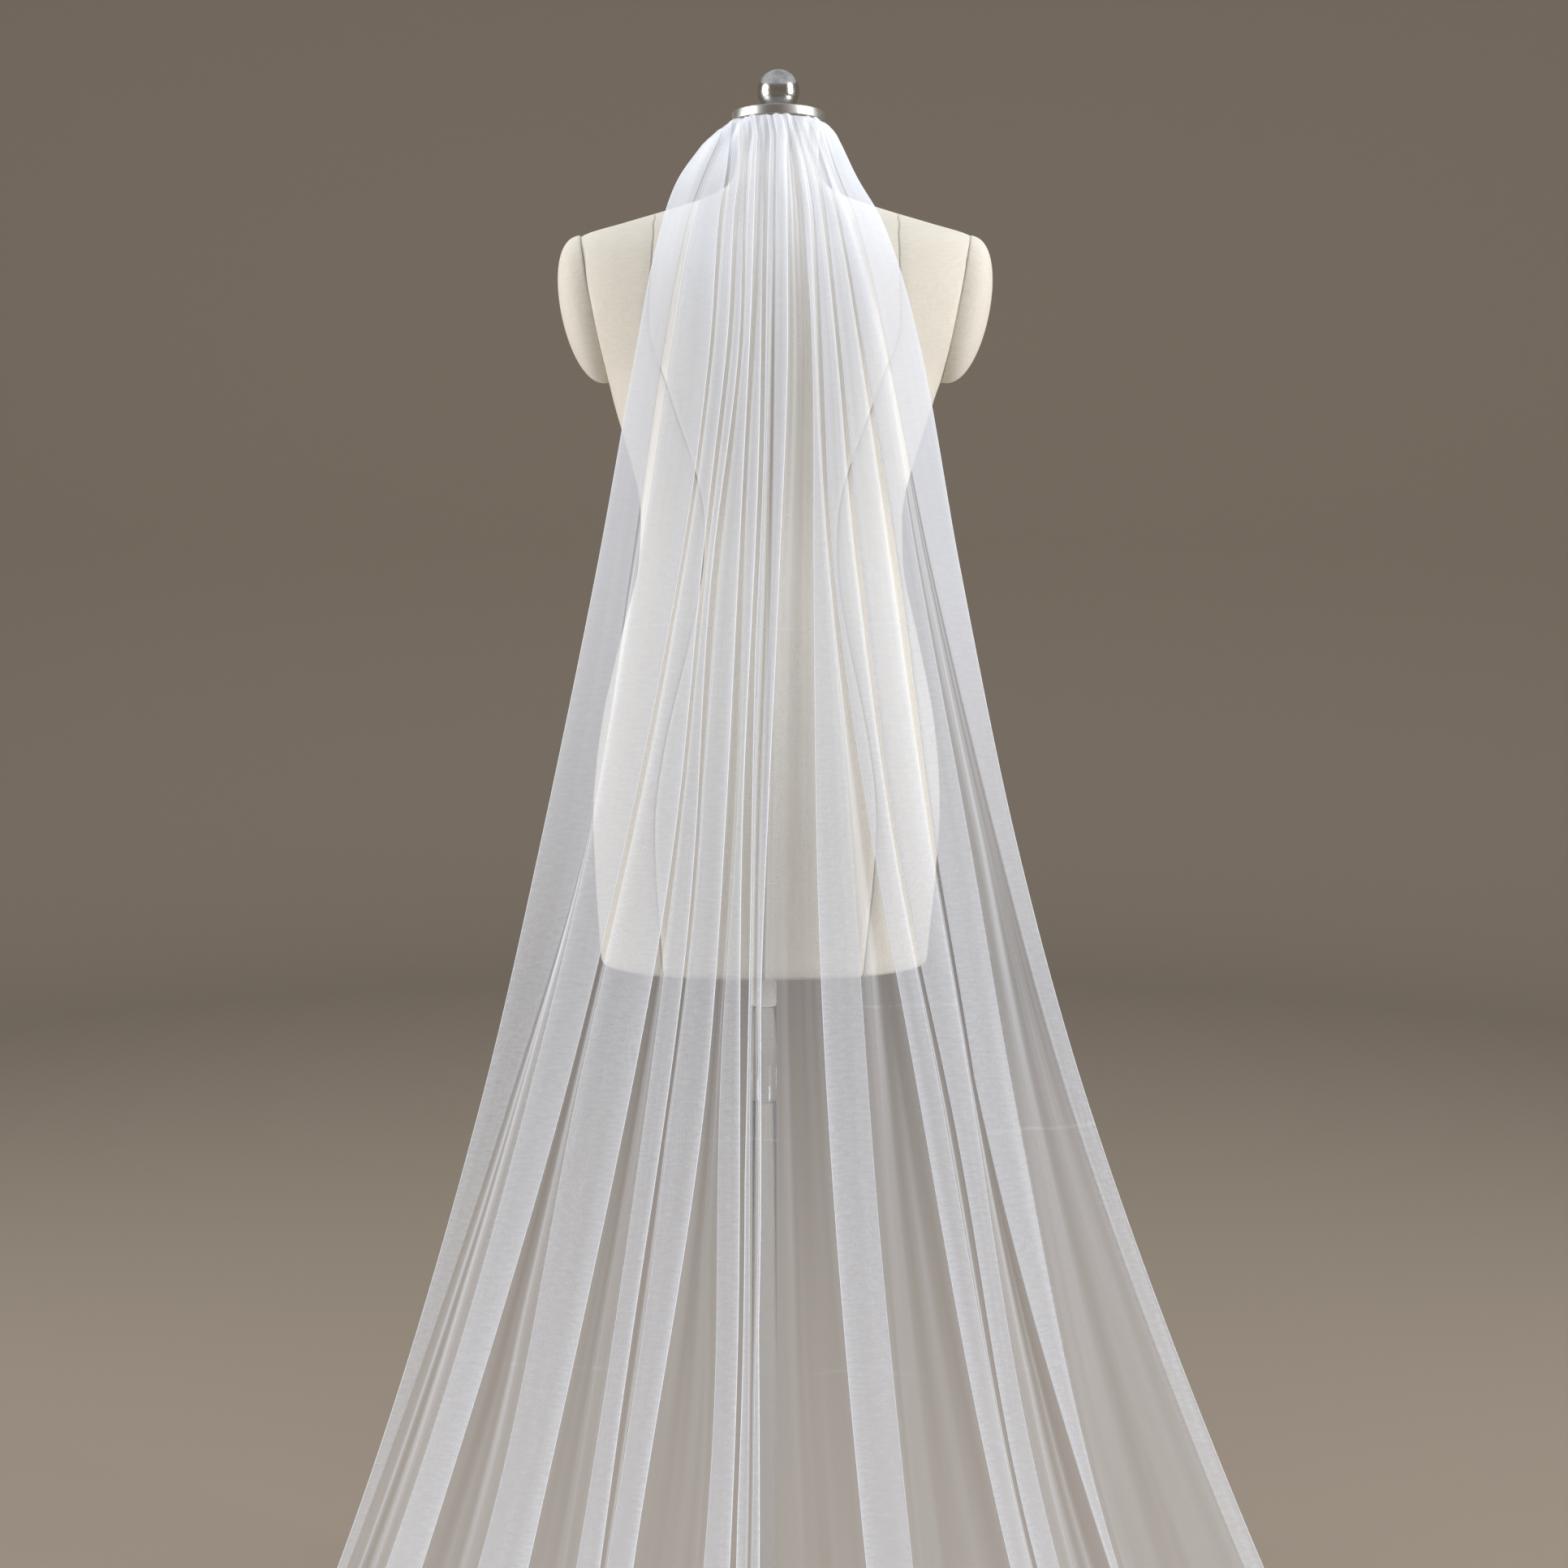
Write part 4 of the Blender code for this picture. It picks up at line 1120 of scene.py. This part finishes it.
def watered_group():
    """Watered marks that crossing nets show in patches, and soft streaks down the cloth."""
    group, given, result = new_group(
        "watered", [("Vector", "NodeSocketVector", None), ("Lines", "NodeSocketFloat", 90.0),
                    ("Across", "NodeSocketFloat", 0.0)],
        [("Ripple", "NodeSocketFloat"), ("Streak", "NodeSocketFloat")])
    stretch = group.nodes.new("ShaderNodeMapping")
    stretch.inputs["Scale"].default_value = (1.0, 0.45, 1.0)
    group.links.new(given.outputs["Vector"], stretch.inputs["Vector"])
    field = add_node(group, "ShaderNodeTexNoise", Scale=19.0, Detail=2.0, Roughness=0.5)
    patch = add_node(group, "ShaderNodeTexNoise", Scale=16.0, Detail=2.0)
    for node in (field, patch):
        group.links.new(stretch.outputs["Vector"], node.inputs["Vector"])
    slant = group.nodes.new("ShaderNodeMapping")
    slant.inputs["Rotation"].default_value = (0.0, 0.0, 0.45)
    slant.inputs["Scale"].default_value = (1.0, 3.2, 1.0)
    grain = add_node(group, "ShaderNodeTexNoise", Scale=95.0, Detail=1.0)
    group.links.new(given.outputs["Vector"], slant.inputs["Vector"])
    group.links.new(slant.outputs["Vector"], grain.inputs["Vector"])
    split = group.nodes.new("ShaderNodeSeparateXYZ")
    group.links.new(given.outputs["Vector"], split.inputs["Vector"])
    along = group.nodes.new("ShaderNodeCombineXYZ")
    group.links.new(math_node(group, "MULTIPLY", given.outputs["Across"], 170.0),
                    along.inputs["X"])
    group.links.new(math_node(group, "MULTIPLY", split.outputs["Y"], 1.6), along.inputs["Y"])
    streak = add_node(group, "ShaderNodeTexNoise", Scale=1.0, Detail=2.0)
    group.links.new(along.outputs["Vector"], streak.inputs["Vector"])
    group.links.new(math_node(group, "SUBTRACT", streak.outputs["Fac"], 0.5),
                    result.inputs["Streak"])
    turns = math_node(group, "MULTIPLY", field.outputs["Fac"], given.outputs["Lines"])
    lines = math_node(group, "MULTIPLY", math_node(group, "SINE", turns), 0.15)
    share = add_node(group, "ShaderNodeMapRange", From_Min=0.48, From_Max=0.64)
    group.links.new(patch.outputs["Fac"], share.inputs["Value"])
    lines = math_node(group, "MULTIPLY", lines, share.outputs["Result"])
    mottle = math_node(group, "SUBTRACT", grain.outputs["Fac"], 0.5)
    both = math_node(group, "ADD", lines, math_node(group, "MULTIPLY", mottle, 1.1))
    lower = add_node(group, "ShaderNodeMapRange", From_Min=0.42, From_Max=0.85, To_Min=0.25)
    group.links.new(split.outputs["Y"], lower.inputs["Value"])
    group.links.new(math_node(group, "MULTIPLY", both, lower.outputs["Result"]),
                    result.inputs["Ripple"])
    return group


CREASE_PLACES = [0.50, 0.73, 0.845, 0.962, 1.163, 1.39, 1.62, 1.85]
NET_COVER = 0.215
RIPPLE_DEPTH = 0.12
UNSEEN_COVER = 0.55
GATHERED_LAYERS = 1.3
TURNED_LAYERS = 4.0
CREASE_LAYERS = 0.35
FOLD_LAYERS = 0.30
STREAK_LAYERS = 1.3
# Strength of the tulle's emission, a painted glow
PAINTED_GLOW = 0.07
TULLE_COLOUR = (0.89, 0.925, 1.0, 1.0)


def packed_group():
    """Faint creases across the cloth from its time in a packet, as a mask from 0 to 1."""
    group, given, result = new_group("packed", [("Vector", "NodeSocketVector", None)],
                                     [("Crease", "NodeSocketFloat")])
    drift = add_node(group, "ShaderNodeTexNoise", Scale=5.0, Detail=2.0)
    group.links.new(given.outputs["Vector"], drift.inputs["Vector"])
    split = group.nodes.new("ShaderNodeSeparateXYZ")
    group.links.new(given.outputs["Vector"], split.inputs["Vector"])
    wander = math_node(group, "MULTIPLY", drift.outputs["Fac"], 0.05)
    along = math_node(group, "ADD", split.outputs["Y"], wander)
    total = 0.0
    for place in CREASE_PLACES:
        away = math_node(group, "ABSOLUTE", math_node(group, "SUBTRACT", along, place + 0.025))
        line = add_node(group, "ShaderNodeMapRange", From_Min=0.0, From_Max=0.0022,
                        To_Min=1.0, To_Max=0.0)
        group.links.new(away, line.inputs["Value"])
        total = math_node(group, "ADD", line.outputs["Result"], total)
    share = add_node(group, "ShaderNodeMapRange", From_Min=0.46, From_Max=0.62)
    group.links.new(drift.outputs["Fac"], share.inputs["Value"])
    group.links.new(math_node(group, "MULTIPLY", total, share.outputs["Result"]),
                    result.inputs["Crease"])
    return group


def soft_tulle():
    """Fine net: thin where it faces the eye, dense where it turns edge on, as at a fold."""
    material, tree, shader = new_material("soft_tulle", TULLE_COLOUR, 0.62)
    shader.inputs["Specular IOR Level"].default_value = 0.25
    shader.inputs["Sheen Weight"].default_value = 0.7
    shader.inputs["Sheen Roughness"].default_value = 0.30
    # A faint emission in the tulle's own colour is painted light: a glow that stands in for light
    # passing through the net.
    shader.inputs["Emission Color"].default_value = TULLE_COLOUR
    shader.inputs["Emission Strength"].default_value = PAINTED_GLOW
    cloth = tree.nodes.new("ShaderNodeUVMap")
    cloth.uv_map = "UVMap"
    marks = []
    for name in ("layered", "turned", "dense", "across"):
        mark = tree.nodes.new("ShaderNodeAttribute")
        mark.attribute_name = name
        marks.append(mark.outputs["Fac"])
    watered = place_group(tree, watered_group(), Vector=cloth.outputs["UV"], Lines=190.0,
                          Across=marks[3])
    facing = tree.nodes.new("ShaderNodeLayerWeight")
    facing.inputs["Blend"].default_value = 0.5
    square = math_node(tree, "MAXIMUM",
                       math_node(tree, "SUBTRACT", 1.0, facing.outputs["Facing"]), 0.18)
    packed = place_group(tree, packed_group(), Vector=cloth.outputs["UV"])
    layers = 1.0
    for mark, more in ((math_node(tree, "POWER", marks[1], 2.0), TURNED_LAYERS),
                       (marks[2], GATHERED_LAYERS), (packed.outputs["Crease"], CREASE_LAYERS),
                       (marks[0], FOLD_LAYERS), (watered.outputs["Streak"], STREAK_LAYERS)):
        layers = math_node(tree, "ADD", math_node(tree, "MULTIPLY", mark, more), layers)
    split = tree.nodes.new("ShaderNodeSeparateXYZ")
    tree.links.new(cloth.outputs["UV"], split.inputs["Vector"])
    opening = add_node(tree, "ShaderNodeMapRange", From_Min=0.45, From_Max=1.30, To_Min=1.22,
                       To_Max=0.76)
    tree.links.new(split.outputs["Y"], opening.inputs["Value"])
    layers = math_node(tree, "MULTIPLY", layers, opening.outputs["Result"])
    layers = math_node(tree, "DIVIDE", layers, square)
    depth = math_node(tree, "MULTIPLY_ADD", marks[0], RIPPLE_DEPTH * 0.85)
    depth.node.inputs[2].default_value = RIPPLE_DEPTH * 0.15
    ripple = math_node(tree, "MULTIPLY", watered.outputs["Ripple"], depth)
    open_share = math_node(tree, "ADD", ripple, 1 - NET_COVER)
    through = math_node(tree, "POWER", open_share, layers)
    cover = math_node(tree, "SUBTRACT", 1.0, through, clamp=True)
    path = tree.nodes.new("ShaderNodeLightPath")
    seen = math_node(tree, "MULTIPLY_ADD", path.outputs["Is Camera Ray"], 1 - UNSEEN_COVER)
    seen.node.inputs[2].default_value = UNSEEN_COVER
    tree.links.new(math_node(tree, "MULTIPLY", cover, seen), shader.inputs["Alpha"])
    return material


veil = build_veil()
tulle = soft_tulle()
veil.data.materials.append(tulle)
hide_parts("veil")
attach(veil, "root")


# Studio. A pale round sweep of seamless paper stands under and all round the part, with a
# tall soft lamp at the right of the camera, a weaker one at the left and one overhead.
SWEEP_RADIUS = 3.6
SWEEP_RISE = 1.2
SWEEP_HEIGHT = 4.2
PAPER_COLOUR = (0.30, 0.255, 0.205, 1.0)


def build_sweep():
    clear_selection()
    bpy.ops.mesh.primitive_circle_add(vertices=128, radius=SWEEP_RADIUS, fill_type="NGON")
    sweep = bpy.context.active_object
    bpy.ops.object.mode_set(mode="EDIT")
    bpy.ops.mesh.select_all(action="SELECT")
    steps = 10
    for k in range(steps):
        low, high = (math.pi / 2 * n / steps for n in (k, k + 1))
        rise = SWEEP_RISE * (math.cos(low) - math.cos(high))
        grow = (SWEEP_RADIUS + SWEEP_RISE * math.sin(high)) / (SWEEP_RADIUS
                                                              + SWEEP_RISE * math.sin(low))
        bpy.ops.mesh.extrude_region_move(TRANSFORM_OT_translate={"value": (0, 0, rise)})
        bpy.ops.transform.resize(value=(grow, grow, 1.0))
    bpy.ops.mesh.extrude_region_move(
        TRANSFORM_OT_translate={"value": (0, 0, SWEEP_HEIGHT - SWEEP_RISE)})
    bpy.ops.mesh.delete(type="ONLY_FACE")
    bpy.ops.object.mode_set(mode="OBJECT")
    return sweep


def soft_lamp(name, place, target, width, height, watts):
    data = bpy.data.lights.new(name, "AREA")
    data.shape = "RECTANGLE"
    data.size = width
    data.size_y = height
    data.energy = watts
    lamp = bpy.data.objects.new(name, data)
    lamp.location = place
    lamp.rotation_euler = (Vector(target) - Vector(place)).to_track_quat("-Z", "Y").to_euler()
    bpy.context.scene.collection.objects.link(lamp)
    return lamp


paper, paper_tree, paper_shader = new_material("paper", PAPER_COLOUR, 0.9)
paper_shader.inputs["Specular IOR Level"].default_value = 0.1
sweep = build_sweep()
sweep.name = "sweep"
sweep.data.materials.append(paper)
smooth_to(sweep, 60)

soft_lamp("key", (3.0, -1.1, 2.0), (0.0, -0.1, 1.40), 1.2, 2.2, 100.0)
soft_lamp("fill", (-3.0, -0.7, 1.75), (0.0, -0.1, 1.40), 1.6, 2.2, 80.0)
soft_lamp("above", (0.0, 0.6, 3.9), (0.0, 0.0, 0.8), 2.6, 2.0, 27.0).visible_glossy = False
world = bpy.data.worlds.new("studio")
world.use_nodes = True
world.node_tree.nodes["Background"].inputs["Color"].default_value = (0.93, 0.95, 1.0, 1.0)
world.node_tree.nodes["Background"].inputs["Strength"].default_value = 0.55
bpy.context.scene.world = world
bpy.context.scene.view_settings.view_transform = "Standard"
